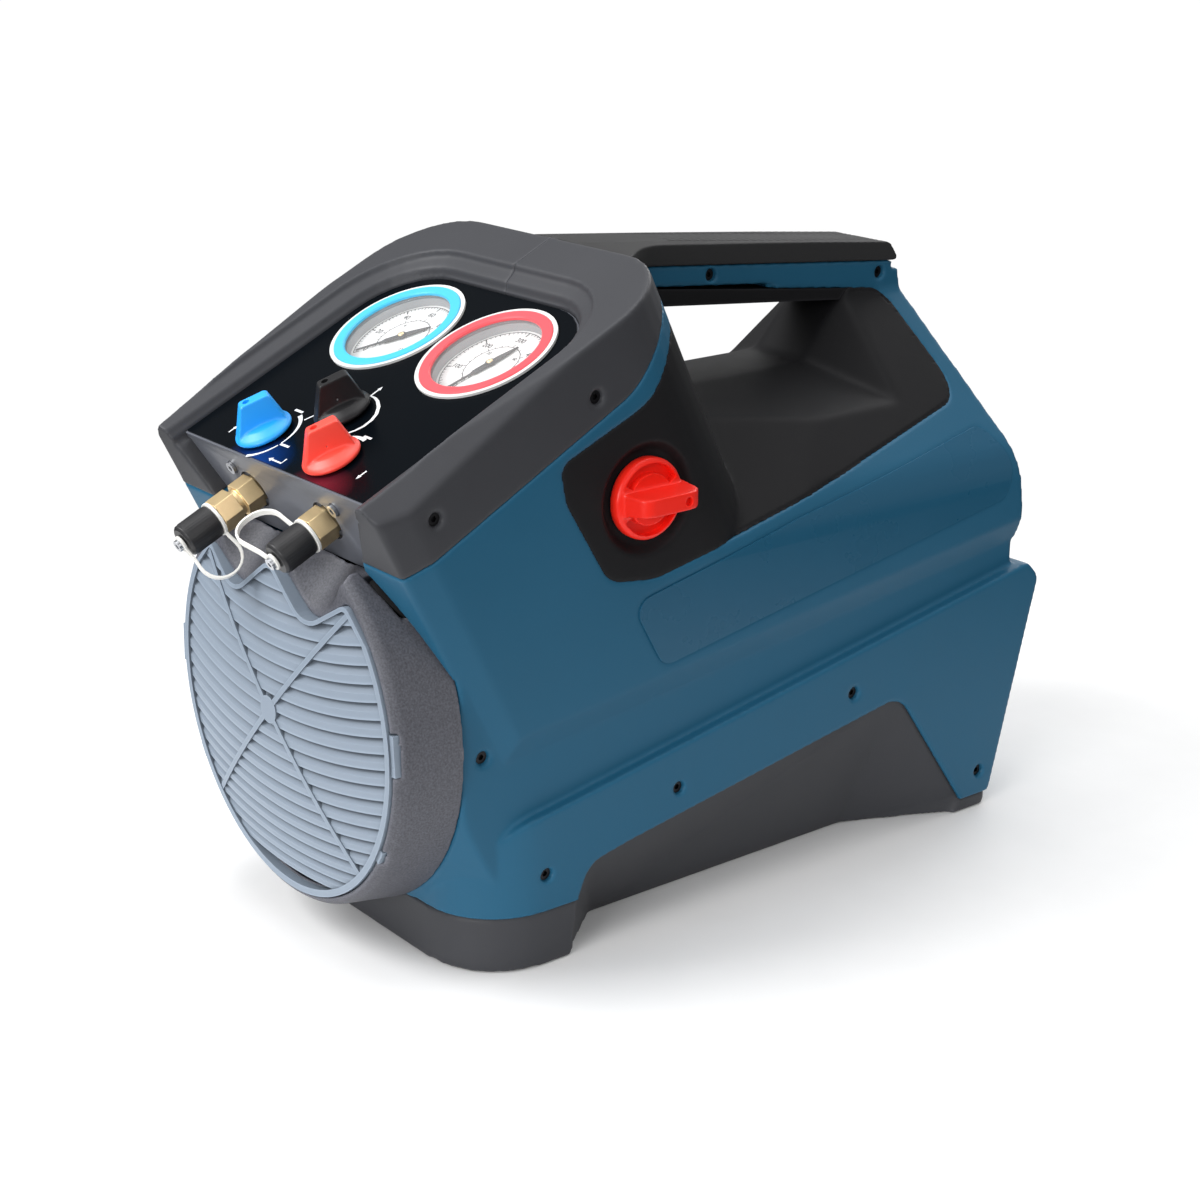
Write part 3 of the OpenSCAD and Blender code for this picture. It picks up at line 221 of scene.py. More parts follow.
def make_metal_group():
    """Turned or drawn metal: fine tool lines, smears, and edges painted brighter, partly as wear and partly as a
    painted highlight.
    """
    g, gi, go = new_group(
        "Machined surface",
        [(COLOR, "Colour", GREY), (FLOAT, "Lines per metre", 2500.0), (FLOAT, "Roughness", 0.3),
         (FLOAT, "Tarnish", 0.2)],
        [(COLOR, "Colour"), (FLOAT, "Roughness"), (FLOAT, "Height")])
    i = gi.outputs
    lines = noise(g, i["Lines per metre"], 2.0, 0.7)
    smear = noise(g, SMEARS_PER_METRE, 4.0, 0.65)
    dull = swing(g, smear, i["Tarnish"])
    # Edges painted brighter: partly wear, partly a painted highlight.
    edge_wear_and_sheen = math_node(g, "MULTIPLY", edge_mask(g, METAL_EDGE), 0.35)
    level = math_node(g, "ADD", math_node(g, "SUBTRACT", 1.0, dull), edge_wear_and_sheen)
    g.links.new(scaled(g, i["Colour"], level), go.inputs["Colour"])
    gloss = math_node(g, "ADD", i["Roughness"], swing(g, smear, 0.25))
    g.links.new(gloss, go.inputs["Roughness"])
    g.links.new(lines, go.inputs["Height"])
    return g


MOULDING = make_moulding_group()
METAL = make_metal_group()


def new_material(name):
    m = bpy.data.materials.new(name)
    m.use_nodes = True
    t = m.node_tree
    return m, t, t.nodes["Principled BSDF"]


def bump(t, height, shader, distance):
    b = t.nodes.new("ShaderNodeBump")
    b.inputs["Strength"].default_value = 0.5
    b.inputs["Distance"].default_value = distance
    t.links.new(height, b.inputs["Height"])
    t.links.new(b.outputs["Normal"], shader.inputs["Normal"])


HOLLOW_REACH = 0.010
TOOL_MARK = 0.00003


def moulded(name, colour, grain, depth, rough, cloud, edge,
            edge_width=0.0014, speckle=0.0, specular=0.5, shade=0.0):
    """A moulded finish: grain per metre and its depth, cloudiness, edges painted lighter as wear and as a painted
    highlight, speckle, and painted shade in the hollows.
    """
    m, t, shader = new_material(name)
    n = t.nodes.new("ShaderNodeGroup")
    n.node_tree = MOULDING
    n.inputs["Colour"].default_value = colour
    n.inputs["Grain per metre"].default_value = grain
    n.inputs["Cloud"].default_value = cloud
    n.inputs["Roughness"].default_value = rough
    n.inputs["Edge"].default_value = edge
    n.inputs["Edge width"].default_value = edge_width
    n.inputs["Speckle"].default_value = speckle
    colour_out = n.outputs["Colour"]
    # Painted shade: the colour is darkened in the hollows that ambient occlusion finds.
    if shade:
        hollow = t.nodes.new("ShaderNodeAmbientOcclusion")
        hollow.samples = 8
        hollow.only_local = True
        hollow.inputs["Distance"].default_value = HOLLOW_REACH
        open_part = math_node(t, "MULTIPLY", hollow.outputs["AO"], shade)
        colour_out = scaled(t, colour_out, math_node(t, "ADD", open_part, 1.0 - shade))
    t.links.new(colour_out, shader.inputs["Base Color"])
    t.links.new(n.outputs["Roughness"], shader.inputs["Roughness"])
    bump(t, n.outputs["Height"], shader, depth)
    shader.inputs["Specular IOR Level"].default_value = specular
    return m


def machined(name, colour, rough, tarnish, lines=2500):
    """A bare metal finish with fine tool lines."""
    m, t, shader = new_material(name)
    n = t.nodes.new("ShaderNodeGroup")
    n.node_tree = METAL
    n.inputs["Colour"].default_value = colour
    n.inputs["Lines per metre"].default_value = lines
    n.inputs["Roughness"].default_value = rough
    n.inputs["Tarnish"].default_value = tarnish
    t.links.new(n.outputs["Colour"], shader.inputs["Base Color"])
    t.links.new(n.outputs["Roughness"], shader.inputs["Roughness"])
    shader.inputs["Metallic"].default_value = 1
    bump(t, n.outputs["Height"], shader, TOOL_MARK)
    return m


def clear_glass(name):
    """Thin clear cover: almost all of it is seen through, with a faint gloss."""
    m, t, shader = new_material(name)
    shader.inputs["Base Color"].default_value = (1, 1, 1, 1)
    film = math_node(t, "ADD", math_node(t, "MULTIPLY", noise(t, 60.0, 3.0), 0.06), 0.03)
    t.links.new(film, shader.inputs["Roughness"])
    smear = math_node(t, "ADD", math_node(t, "MULTIPLY", noise(t, 90.0, 3.0), 0.05), 0.05)
    t.links.new(smear, shader.inputs["Alpha"])
    return m


# Sockets of a colour mix
MIX_A, MIX_B, MIX_RESULT = 6, 7, 2


def printed_film(name):
    """Glossy black film with a painted reflection of the blue inlet knob beside it and a dark red one of the
    outlet knob.
    """
    m, t, shader = new_material(name)
    place = t.nodes.new("ShaderNodeMapping")
    place.vector_type = "TEXTURE"
    place.inputs["Location"].default_value = (0, GRILLE_Y, PANEL_Z)
    place.inputs["Rotation"].default_value = (PANEL_TILT, 0, 0)
    t.links.new(t.nodes.new("ShaderNodeTexCoord").outputs["Object"], place.inputs["Vector"])

    def knob_reflection_mask(x, v, rx, rv):
        """1 in the middle of a soft oval on the panel, 0 at its edge: where a knob's painted reflection lies."""
        p = t.nodes.new("ShaderNodeMapping")
        p.vector_type = "TEXTURE"
        p.inputs["Location"].default_value = (x, v, 0)
        p.inputs["Scale"].default_value = (rx, rv, 1)
        t.links.new(place.outputs[0], p.inputs["Vector"])
        far = t.nodes.new("ShaderNodeVectorMath")
        far.operation = "LENGTH"
        t.links.new(p.outputs[0], far.inputs[0])
        return math_node(t, "SUBTRACT", 1.0, far.outputs["Value"], clamp=True)

    colour = None
    # Painted reflections of the blue and the red knob in the glossy film.
    for mask, reflection_colour in ((knob_reflection_mask(-0.014, -0.001, 0.026, 0.020), srgb(14, 50, 116)),
                       (knob_reflection_mask(0.042, -0.001, 0.024, 0.016), srgb(104, 26, 40))):
        mix = t.nodes.new("ShaderNodeMix")
        mix.data_type = "RGBA"
        t.links.new(mask, mix.inputs["Factor"])
        if colour is None:
            mix.inputs[MIX_A].default_value = srgb(5, 9, 14)
        else:
            t.links.new(colour, mix.inputs[MIX_A])
        mix.inputs[MIX_B].default_value = reflection_colour
        colour = mix.outputs[MIX_RESULT]
    t.links.new(colour, shader.inputs["Base Color"])
    smear = math_node(t, "ADD", math_node(t, "MULTIPLY", noise(t, 40.0, 4.0), 0.12), 0.16)
    t.links.new(smear, shader.inputs["Roughness"])
    bump(t, noise(t, 500.0, 2.0), shader, 0.00002)
    shader.inputs["Specular IOR Level"].default_value = 0.03
    return m


PETROL = moulded("Petrol blue moulding", srgb(33, 89, 118), grain=1100, depth=0.00010, rough=0.42,
                 cloud=0.08, edge=0.8, edge_width=0.002, specular=0.22)
LABEL = moulded("Bare label film", srgb(31, 84, 112), grain=1500, depth=0.00002, rough=0.28, cloud=0.06,
                edge=0.15, specular=0.3)
CHARCOAL = moulded("Charcoal moulding", srgb(58, 59, 63), grain=1300, depth=0.00010, rough=0.50,
                   cloud=0.14, edge=1.1, edge_width=0.0026, specular=0.28)
LINER = moulded("Black liner moulding", srgb(25, 25, 27), grain=1300, depth=0.00010, rough=0.55,
                cloud=0.12, edge=1.4, edge_width=0.0024, specular=0.14)
SHROUD = moulded("Textured shroud moulding", srgb(84, 85, 92), grain=600, depth=0.00035, rough=0.55,
                 cloud=0.10, edge=1.2, edge_width=0.003, speckle=1.1, specular=0.35)
GRILLE = moulded("Grey grille moulding", srgb(130, 142, 156), grain=1200, depth=0.00008, rough=0.45,
                 cloud=0.08, edge=0.25, specular=0.3, shade=0.9)
PLATE = moulded("Port plate finish", srgb(92, 95, 103), grain=1500, depth=0.00003, rough=0.34,
                cloud=0.16, edge=0.6)
FILM = printed_film("Printed panel film")
GRIP = moulded("Soft grip rubber", srgb(42, 42, 43), grain=1500, depth=0.00015, rough=0.72, cloud=0.12,
               edge=0.3, specular=0.3)
# Painted shade: a dark matt finish for the beads that stand in for the shadow in the seams by the shroud.
SEAM_SHADOW = moulded("Painted seam shadow", srgb(26, 26, 27), grain=1800, depth=0.0004, rough=0.9, cloud=0.2, edge=0.1,
               speckle=0.5, specular=0.1)
BLACK = moulded("Black plastic", srgb(34, 34, 36), grain=1500, depth=0.00006, rough=0.42, cloud=0.12,
                edge=0.35)
BLACK_KNOB = moulded("Black knob plastic", srgb(24, 24, 26), grain=1500, depth=0.00004, rough=0.42,
                     cloud=0.12, edge=0.35, specular=0.3)
BLUE_KNOB = moulded("Blue knob plastic", srgb(20, 164, 255), grain=1600, depth=0.00004, rough=0.45,
                    cloud=0.06, edge=0.2, specular=0.7)
RED_KNOB = moulded("Red knob plastic", srgb(255, 72, 56), grain=1600, depth=0.00004, rough=0.45,
                   cloud=0.06, edge=0.2, specular=0.7)
SWITCH_RED = moulded("Red switch plastic", srgb(250, 40, 26), grain=1600, depth=0.00004, rough=0.36,
                     cloud=0.06, edge=0.2, specular=0.35)
CYAN = moulded("Cyan gauge ring", srgb(70, 188, 230), grain=1600, depth=0.00002, rough=0.35, cloud=0.04,
               edge=0.1)
CORAL = moulded("Red gauge ring", srgb(238, 84, 92), grain=1600, depth=0.00002, rough=0.35, cloud=0.04,
                edge=0.1)
WHITE = moulded("White enamel", srgb(220, 220, 219), grain=1600, depth=0.00002, rough=0.4, cloud=0.03,
                edge=0.0)
STRAP = moulded("White strap rubber", srgb(236, 235, 230), grain=1500, depth=0.00008, rough=0.55,
                cloud=0.08, edge=0.05)
INK = moulded("White ink", srgb(232, 234, 236), grain=1600, depth=0.00001, rough=0.5, cloud=0.05,
              edge=0.0)
DIAL_INK = moulded("Black dial ink", srgb(34, 34, 36), grain=1600, depth=0.00001, rough=0.6, cloud=0.1,
                   edge=0.0)
NEEDLE = moulded("Needle enamel", srgb(34, 34, 36), grain=1600, depth=0.00002, rough=0.5, cloud=0.05,
                 edge=0.1)
CASE_GREY = moulded("Grey gauge case", srgb(150, 151, 153), grain=1500, depth=0.00004, rough=0.5,
                    cloud=0.08, edge=0.1)
GLASS = clear_glass("Gauge glass")
BRASS = machined("Turned brass", srgb(242, 216, 168), rough=0.42, tarnish=0.22)
STEEL = machined("Machined steel", srgb(190, 192, 196), rough=0.32, tarnish=0.2)
ALUMINIUM = machined("Cast aluminium", srgb(176, 178, 182), rough=0.5, tarnish=0.3, lines=900)
COPPER = machined("Copper tube", srgb(206, 138, 104), rough=0.3, tarnish=0.35)
SCREW = machined("Blackened screw steel", srgb(52, 52, 54), rough=0.42, tarnish=0.4)

FINISH = {
    "petrol_moulding": PETROL, "charcoal_moulding": CHARCOAL, "shroud_moulding": SHROUD,
    "grille_grey": GRILLE, "panel_black": FILM, "grip_rubber": GRIP, "gauge_black": BLACK,
    "gauge_white": WHITE, "gauge_cyan": CYAN, "gauge_red": CORAL, "needle_black": NEEDLE, "gauge_glass": GLASS,
    "knob_blue": BLUE_KNOB, "knob_red": RED_KNOB, "knob_black": BLACK_KNOB, "steel": STEEL,
    "cast_aluminium": ALUMINIUM, "brass": BRASS, "copper": COPPER,
    "cap_black": BLACK, "strap_white": STRAP, "switch_red": SWITCH_RED, "screw_black": SCREW,
}
OWN_FINISH = {
    "handle_liner": LINER, "handle_underside": LINER, "control_panel": PLATE, "plate_screws": STEEL,
    "gauge_case_low": CASE_GREY, "gauge_case_high": CASE_GREY,
}


def finish_of(node):
    return OWN_FINISH.get(node, FINISH[slot_of[node]])


for name, cad in nodes.items():
    cad.data.materials.clear()
    cad.data.materials.append(finish_of(name))


# Making pieces

def welded(node):
    """A bmesh of a CAD node with the seams between its faces closed."""
    bm = bmesh.new()
    bm.from_mesh(nodes[node].data)
    bmesh.ops.remove_doubles(bm, verts=bm.verts, dist=1e-6)
    return bm


def add_piece(name, bm, material, body, stands_for=()):
    """The shape bm as a piece of a body, in place of the CAD nodes that it stands for."""
    mesh = bpy.data.meshes.new(name)
    bm.to_mesh(mesh)
    bm.free()
    for key in ("custom_normal", "sharp_edge", "sharp_face"):
        if key in mesh.attributes:
            mesh.attributes.remove(mesh.attributes[key])
    mesh.shade_smooth()
    mesh.materials.clear()
    mesh.materials.append(material)
    o = bpy.data.objects.new(name, mesh)
    scene.collection.objects.link(o)
    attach(o, body)
    if stands_for:
        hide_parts(*stands_for)
    return o


def baked(o):
    """The object's mesh with its modifiers applied."""
    graph = bpy.context.evaluated_depsgraph_get()
    graph.update()
    return bpy.data.meshes.new_from_object(o.evaluated_get(graph))


def soft_moulding(node, voxel, steps, neighbours=(), tight=0.0008, loose=0.006, weigh=None, press=0.0):
    """A moulding with rounded edges: remeshed and smoothed, but kept as it is where it meets its neighbours.

    The rounding grows from none within tight of a neighbour to all of it at loose, times what weigh says of the
    place. press pushes the edges into their neighbours, so that no light comes through the seams.
    """
    bm = welded(node)
    rough = bpy.data.meshes.new(node + "_rough")
    bm.to_mesh(rough)
    bm.free()
    o = bpy.data.objects.new(node + "_rough", rough)
    scene.collection.objects.link(o)
    r = o.modifiers.new("Remesh", "REMESH")
    r.mode = "VOXEL"
    r.voxel_size = voxel
    dense = baked(o)
    o.modifiers.clear()
    o.data = dense
    trees = []
    for n in neighbours:
        b = welded(n)
        trees.append(BVHTree.FromBMesh(b))
        b.free()
    group = o.vertex_groups.new(name="soft")
    for v in dense.vertices:
        w = 1.0
        for tree in trees:
            hit = tree.find_nearest(v.co, loose)
            if hit[0] is not None:
                w = min(w, max(0.0, (hit[3] - tight) / (loose - tight)))
        if weigh:
            w *= weigh(v.co)
        group.add([v.index], w, "REPLACE")
    settle = o.modifiers.new("Settle", "SMOOTH")
    settle.factor = 0.5
    settle.iterations = 2
    s = o.modifiers.new("Round", "SMOOTH")
    s.factor = 0.5
    s.iterations = steps
    s.vertex_group = "soft"
    final = baked(o)
    bpy.data.objects.remove(o)
    bm = bmesh.new()
    bm.from_mesh(final)
    if press:
        for v in bm.verts:
            for tree in trees:
                hit = tree.find_nearest(v.co, 2 * tight)
                if hit[0] is not None:
                    v.co -= hit[1] * press
                    break
    return add_piece(node + "_moulding", bm, finish_of(node), body_of[node], [node])


def crisp(node, width, angle=32):
    """A rigid piece with narrow rounded edges, where its faces turn by more than the angle."""
    bm = welded(node)
    bmesh.ops.dissolve_limit(bm, angle_limit=math.radians(0.6), verts=bm.verts, edges=bm.edges)
    limit = math.radians(angle)
    sharp = [e for e in bm.edges if len(e.link_faces) == 2 and e.calc_face_angle(0) > limit]
    bmesh.ops.bevel(bm, geom=sharp, offset=width, segments=2, profile=0.6, affect="EDGES", clamp_overlap=False)
    o = add_piece(node + "_edged", bm, finish_of(node), body_of[node], [node])
    w = o.modifiers.new("Flats", "WEIGHTED_NORMAL")
    w.keep_sharp = True
    return o


def cut_out(o, bm):
    """Takes the closed shape bm out of a piece."""
    mesh = bpy.data.meshes.new("tool")
    bm.to_mesh(mesh)
    bm.free()
    tool = bpy.data.objects.new("tool", mesh)
    scene.collection.objects.link(tool)
    cut = o.modifiers.new("Hole", "BOOLEAN")
    cut.operation = "DIFFERENCE"
    cut.solver = "EXACT"
    cut.object = tool
    holed = baked(o)
    o.modifiers.clear()
    o.data = holed
    bpy.data.objects.remove(tool)


def drill(o, place, r, depth):
    """A round hole into a piece, from a place on its surface."""
    bm = bmesh.new()
    bmesh.ops.create_cone(
        bm, cap_ends=True, segments=40, radius1=r, radius2=r, depth=2 * depth, matrix=place)
    cut_out(o, bm)


def hollow_ring(o, inner, outer, low, high, start, end):
    """A sunk part of a ring in the power knob's disc, between two angles in degrees."""
    bm = bmesh.new()
    steps = 28
    rows = []
    for i in range(steps + 1):
        a = math.radians(start + (end - start) * i / steps)
        rows.append([bm.verts.new(POWER_AXIS @ Vector((r * math.cos(a), r * math.sin(a), h)))
                     for r, h in ((inner, low), (outer, low), (outer, high), (inner, high))])
    for a, b in zip(rows, rows[1:]):
        for k in range(4):
            bm.faces.new((a[k], b[k], b[k - 3], a[k - 3]))
    bm.faces.new(rows[0])
    bm.faces.new(rows[-1][::-1])
    bmesh.ops.recalc_face_normals(bm, faces=bm.faces)
    cut_out(o, bm)


def by_the_knob(co):
    """Low in the dish round the power knob, which stays crisper than the rest of the liner."""
    in_dish = co.x > DISH_MIN_X and math.hypot(co.y - POWER_Y, co.z - POWER_Z) < DISH_R
    return 0.05 if in_dish else 1.0


def off_the_rim(co):
    """Low on the stepped inner side of the hood's rim, which stays crisper than its outside."""
    x, v, h = PANEL.inverted() @ co
    return 0.18 if abs(x) < RIM_HALF and v < RIM_TOP and h > RIM_FOOT else 1.0


SIDES = (("right", "left"), ("left", "right"))
for side, other in SIDES:
    soft_moulding("hood_" + side, voxel=0.0009, steps=26, weigh=off_the_rim,
                  neighbours=["side_panel_" + side, "hood_" + other, "control_panel"])
for side, other in SIDES:
    soft_moulding("side_panel_" + side, voxel=0.0011, steps=10, tight=0.0006, loose=0.003,
                  neighbours=["hood_" + side, "handle_liner", "side_panel_" + other, "base"])
soft_moulding("handle_liner", voxel=0.0009, steps=80, tight=0.0008, loose=0.007, weigh=by_the_knob, press=0.0007,
              neighbours=["side_panel_right", "side_panel_left", "hood_right", "hood_left"])
soft_moulding("front_shroud", voxel=0.0009, steps=14, tight=0.0008, loose=0.003, neighbours=["intake_grille"])
soft_moulding("base", voxel=0.0016, steps=6, tight=0.0006, loose=0.004,
              neighbours=["side_panel_right", "side_panel_left"])
for knob in KNOBS:
    drill(soft_moulding(knob, voxel=0.00045, steps=8), at_knob(knob), r=1.8, depth=2.2)
switch_knob = soft_moulding("power_knob", voxel=0.0006, steps=8)
drill(switch_knob, POWER_INDEX, r=2.2, depth=2.6)
for start in (-60, 120):
    hollow_ring(switch_knob, inner=12.5, outer=17.6, low=2.6, high=9, start=start, end=start + 120)
soft_moulding("handle_grip", voxel=0.0006, steps=4)
for port in ("inlet_port", "outlet_port"):
    crisp(port, 0.0004)
for cap in ("inlet_cap", "outlet_cap"):
    crisp(cap, 0.0003)
for strap in ("inlet_tether", "outlet_tether"):
    crisp(strap, 0.0003, angle=50)
plate = crisp("control_panel", 0.0004)
for x in (-PORT_X, PORT_X):
    drill(plate, at_port(x), r=10.3, depth=2.2)


# Printing on the panel and the dials, in millimetres
INK_THICK = 0.06


def thicken(bm, by):
    """Makes a closed slab of the open faces of bm."""
    grown = bmesh.ops.extrude_face_region(bm, geom=bm.faces[:])
    bmesh.ops.translate(bm, verts=[v for v in grown["geom"] if isinstance(v, bmesh.types.BMVert)], vec=by)


def ribbon(bm, points, widths):
    """A flat line through points, with its own width at each."""
    rows = []
    for i, p in enumerate(points):
        back = Vector(points[max(i - 1, 0)])
        ahead = Vector(points[min(i + 1, len(points) - 1)])
        along = (ahead - back).normalized()
        across = Vector((-along.y, along.x)) * widths[i] / 2
        rows.append([bm.verts.new((*(Vector(p) + k * across), 0)) for k in (-1, 1)])
    for (a, b), (c, d) in zip(rows, rows[1:]):
        bm.faces.new((a, c, d, b))


def arc(bm, centre, r, start, end, w0, w1):
    """Part of a circle, in degrees, that changes width from w0 to w1."""
    n = max(6, int(abs(end - start) / 4))
    turns = [math.radians(start + (end - start) * i / n) for i in range(n + 1)]
    points = [(centre[0] + r * math.cos(a), centre[1] + r * math.sin(a)) for a in turns]
    ribbon(bm, points, [w0 + (w1 - w0) * i / n for i in range(n + 1)])


def arrow(bm, points, width, head):
    """A line that ends in an arrowhead."""
    tip = Vector(points[-1])
    along = (tip - Vector(points[-2])).normalized()
    across = Vector((-along.y, along.x)) * head / 2
    neck = tip - along * head
    ribbon(bm, points[:-1] + [tuple(neck)], [width] * len(points))
    bm.faces.new([bm.verts.new((*q, 0)) for q in (neck - across, tip, neck + across)])


def numeral(bm, text, place, size):
    """A plain number, centred on its place."""
    curve = bpy.data.curves.new("numeral", "FONT")
    curve.body = text
    curve.size = size
    curve.align_x = "CENTER"
    curve.align_y = "CENTER"
    curve.resolution_u = 3
    curve.offset = size * 0.016
    o = bpy.data.objects.new("numeral", curve)
    scene.collection.objects.link(o)
    mesh = baked(o)
    bpy.data.objects.remove(o)
    mesh.transform(Matrix.Translation((*place, 0)))
    bm.from_mesh(mesh)


def printed(name, bm, material, place):
    """The flat shapes of bm as a thin coat of ink, laid at a place."""
    bmesh.ops.remove_doubles(bm, verts=bm.verts, dist=1e-4)
    bmesh.ops.recalc_face_normals(bm, faces=bm.faces)
    for f in bm.faces:
        if f.normal.z < 0:
            f.normal_flip()
    thicken(bm, (0, 0, INK_THICK))
    bmesh.ops.transform(bm, matrix=place, verts=bm.verts)
    bmesh.ops.recalc_face_normals(bm, faces=bm.faces)
    add_piece(name, bm, material, "case").data.shade_flat()


INLET = KNOBS["inlet_knob"]
OUTLET = KNOBS["outlet_knob"]
marks = bmesh.new()
arc(marks, INLET, 18.3, 68, -7, 2.4, 0.7)
arc(marks, INLET, 18.3, -13, -66, 0.7, 1.9)
ribbon(marks, [(-12.2, 14.1), (-4.6, 14.2)], [1.3, 1.3])
ribbon(marks, [(-31.5, 36.4), (-24.5, 36.4)], [1.4, 1.4])
ribbon(marks, [(-17.4, 32.4), (-15, 37.6)], [0.9, 0.9])
ribbon(marks, [(2.6, 60), (7, 59.7), (11, 58.4), (16.3, 55.2), (20.4, 50.8), (22.3, 46.5), (22.6, 41.5),
               (21, 37.4), (18.2, 33.6)],
       [0.9, 1.3, 1.7, 1.9, 1.9, 1.8, 1.6, 1.3, 1.0])
arrow(marks, [(2.6, 59.6), (2.7, 67.8)], 0.9, 2.6)
arrow(marks, [(3.6, 7.4), (3.6, 3.9), (-7.6, 3.9)], 0.9, 2.8)
ribbon(marks, [(30.4, 35.9), (36.6, 35.9)], [1.3, 1.3])
arc(marks, OUTLET, 17.2, 78, 176, 2.2, 0.7)
arrow(marks, [(57.6, 17.8), (57.4, 11.4)], 0.9, 2.6)
arrow(marks, [(-53.5, 9.2), (-53.5, 15)], 0.9, 2.4)
printed("panel_marks", marks, INK, at_panel(0, 0))


# Dial marks: the sweep in degrees, and the radii of the scales, of the ends of their ticks and of their numbers
DIAL_SWEEP = 270
OUTER_SCALE = 26.7
OUTER_TICK = 26.6
LONG_TICK, MIDDLE_TICK, SHORT_TICK = 23.6, 24.8, 25.4
INNER_SCALE = 14.6
INNER_LONG_TICK, INNER_SHORT_TICK = 16.6, 15.6
OUTER_NUMBERS = 20.2
INNER_NUMBERS = 11.9


def dial_face(side, zero, step, count, size):
    """Ticks, two arcs and plain numbers round a dial, clockwise from its rest angle."""
    bm = bmesh.new()

    def out(i, total):
        a = math.radians(zero - DIAL_SWEEP * i / total)
        return Vector((math.cos(a), math.sin(a)))

    for i in range(count * 10 + 1):
        ray = out(i, count * 10)
        inner = LONG_TICK if i % 10 == 0 else MIDDLE_TICK if i % 5 == 0 else SHORT_TICK
        ribbon(bm, [tuple(ray * inner), tuple(ray * OUTER_TICK)], [0.7 if i % 10 == 0 else 0.38] * 2)
    arc(bm, (0, 0), OUTER_SCALE, zero, zero - DIAL_SWEEP, 0.45, 0.45)
    arc(bm, (0, 0), INNER_SCALE, zero, zero - DIAL_SWEEP, 0.42, 0.42)
    for i in range(count * 4 + 1):
        ray = out(i, count * 4)
        outer = INNER_LONG_TICK if i % 4 == 0 else INNER_SHORT_TICK
        ribbon(bm, [tuple(ray * INNER_SCALE), tuple(ray * outer)], [0.4] * 2)
    for i in range(count + 1):
        ray = out(i, count)
        numeral(bm, str(i * step), tuple(OUTER_NUMBERS * ray), size)
        if i % 2 == 0:
            numeral(bm, str(i * step // 10), tuple(INNER_NUMBERS * ray), size * 0.66)
    printed("dial_marks_" + side, bm, DIAL_INK, at_panel(*GAUGES[side], DIAL_H))


dial_face("low", zero=227, step=20, count=6, size=4.6)
dial_face("high", zero=255, step=100, count=5, size=4.4)


def turned(name, profile, material, place, body):
    """A piece turned on a lathe, from its profile of radius and height, ending on the axis."""
    bm = bmesh.new()
    count = 36
    rows = []
    for r, z in profile[:-1]:
        turns = [2 * math.pi * i / count for i in range(count)]
        rows.append([bm.verts.new((r * math.cos(a), r * math.sin(a), z)) for a in turns])
    for low, high in zip(rows, rows[1:]):
        for i in range(count):
            bm.faces.new((low[i], low[i - count + 1], high[i - count + 1], high[i]))
    top = bm.verts.new((0, 0, profile[-1][1]))
    for i in range(count):
        bm.faces.new((rows[-1][i], rows[-1][i - count + 1], top))
    bm.faces.new(rows[0][::-1])
    bmesh.ops.transform(bm, matrix=place, verts=bm.verts)
    add_piece(name, bm, material, body)


# Pin heads on the pointers' hubs
PIN_PROFILE = [(1.7, -0.4), (1.7, 0.2), (1.45, 0.55), (0.8, 0.8), (0, 0.88)]
for side, place in GAUGES.items():
    turned("pointer_pin_" + side, PIN_PROFILE, BRASS, at_panel(*place, HUB_H), side + "_pointer")

# Dark beads in the slits between the shroud's shoulders and the side panels, in millimetres: painted shade that
# stands in for the shadow in those seams
SEAM_SHADOW_PATH = [(62, -199, 193), (68, -196.5, 191), (74, -192, 186.5), (79, -187, 181), (84, -180, 173)]
SEAM_SHADOW_R = 4.2


def seam_shadow_bead(side):
    """A round dark bead of painted shade along the path, on the right for side 1 and on the left for side -1."""
    bm = bmesh.new()
    points = [Vector((side * x, y, z)) for x, y, z in SEAM_SHADOW_PATH]
    count = 20
    rings = []
    for i, p in enumerate(points):
        along = (points[min(i + 1, len(points) - 1)] - points[max(i - 1, 0)]).normalized()
        across = along.cross(Vector((0, 0, 1))).normalized()
        up = across.cross(along)
        turns = [2 * math.pi * k / count for k in range(count)]
        rings.append([bm.verts.new(p + SEAM_SHADOW_R * (math.cos(a) * across + math.sin(a) * up)) for a in turns])
    for low, high in zip(rings, rings[1:]):
        for k in range(count):
            bm.faces.new((low[k], low[k - count + 1], high[k - count + 1], high[k]))
    bm.faces.new(rings[0][::-1])
    bm.faces.new(rings[-1])
    bmesh.ops.recalc_face_normals(bm, faces=bm.faces)
    bmesh.ops.transform(bm, matrix=MM, verts=bm.verts)
    add_piece("seam_shadow_bead_" + ("right" if side > 0 else "left"), bm, SEAM_SHADOW, "case")


seam_shadow_bead(1)
seam_shadow_bead(-1)

# Bare label films, in the shallow recess of each side, which lies at this depth and height
LABEL_SEED = (0.27, 0.177)
LABEL_THICK = 0.0012
STEP_ANGLE = 0.3


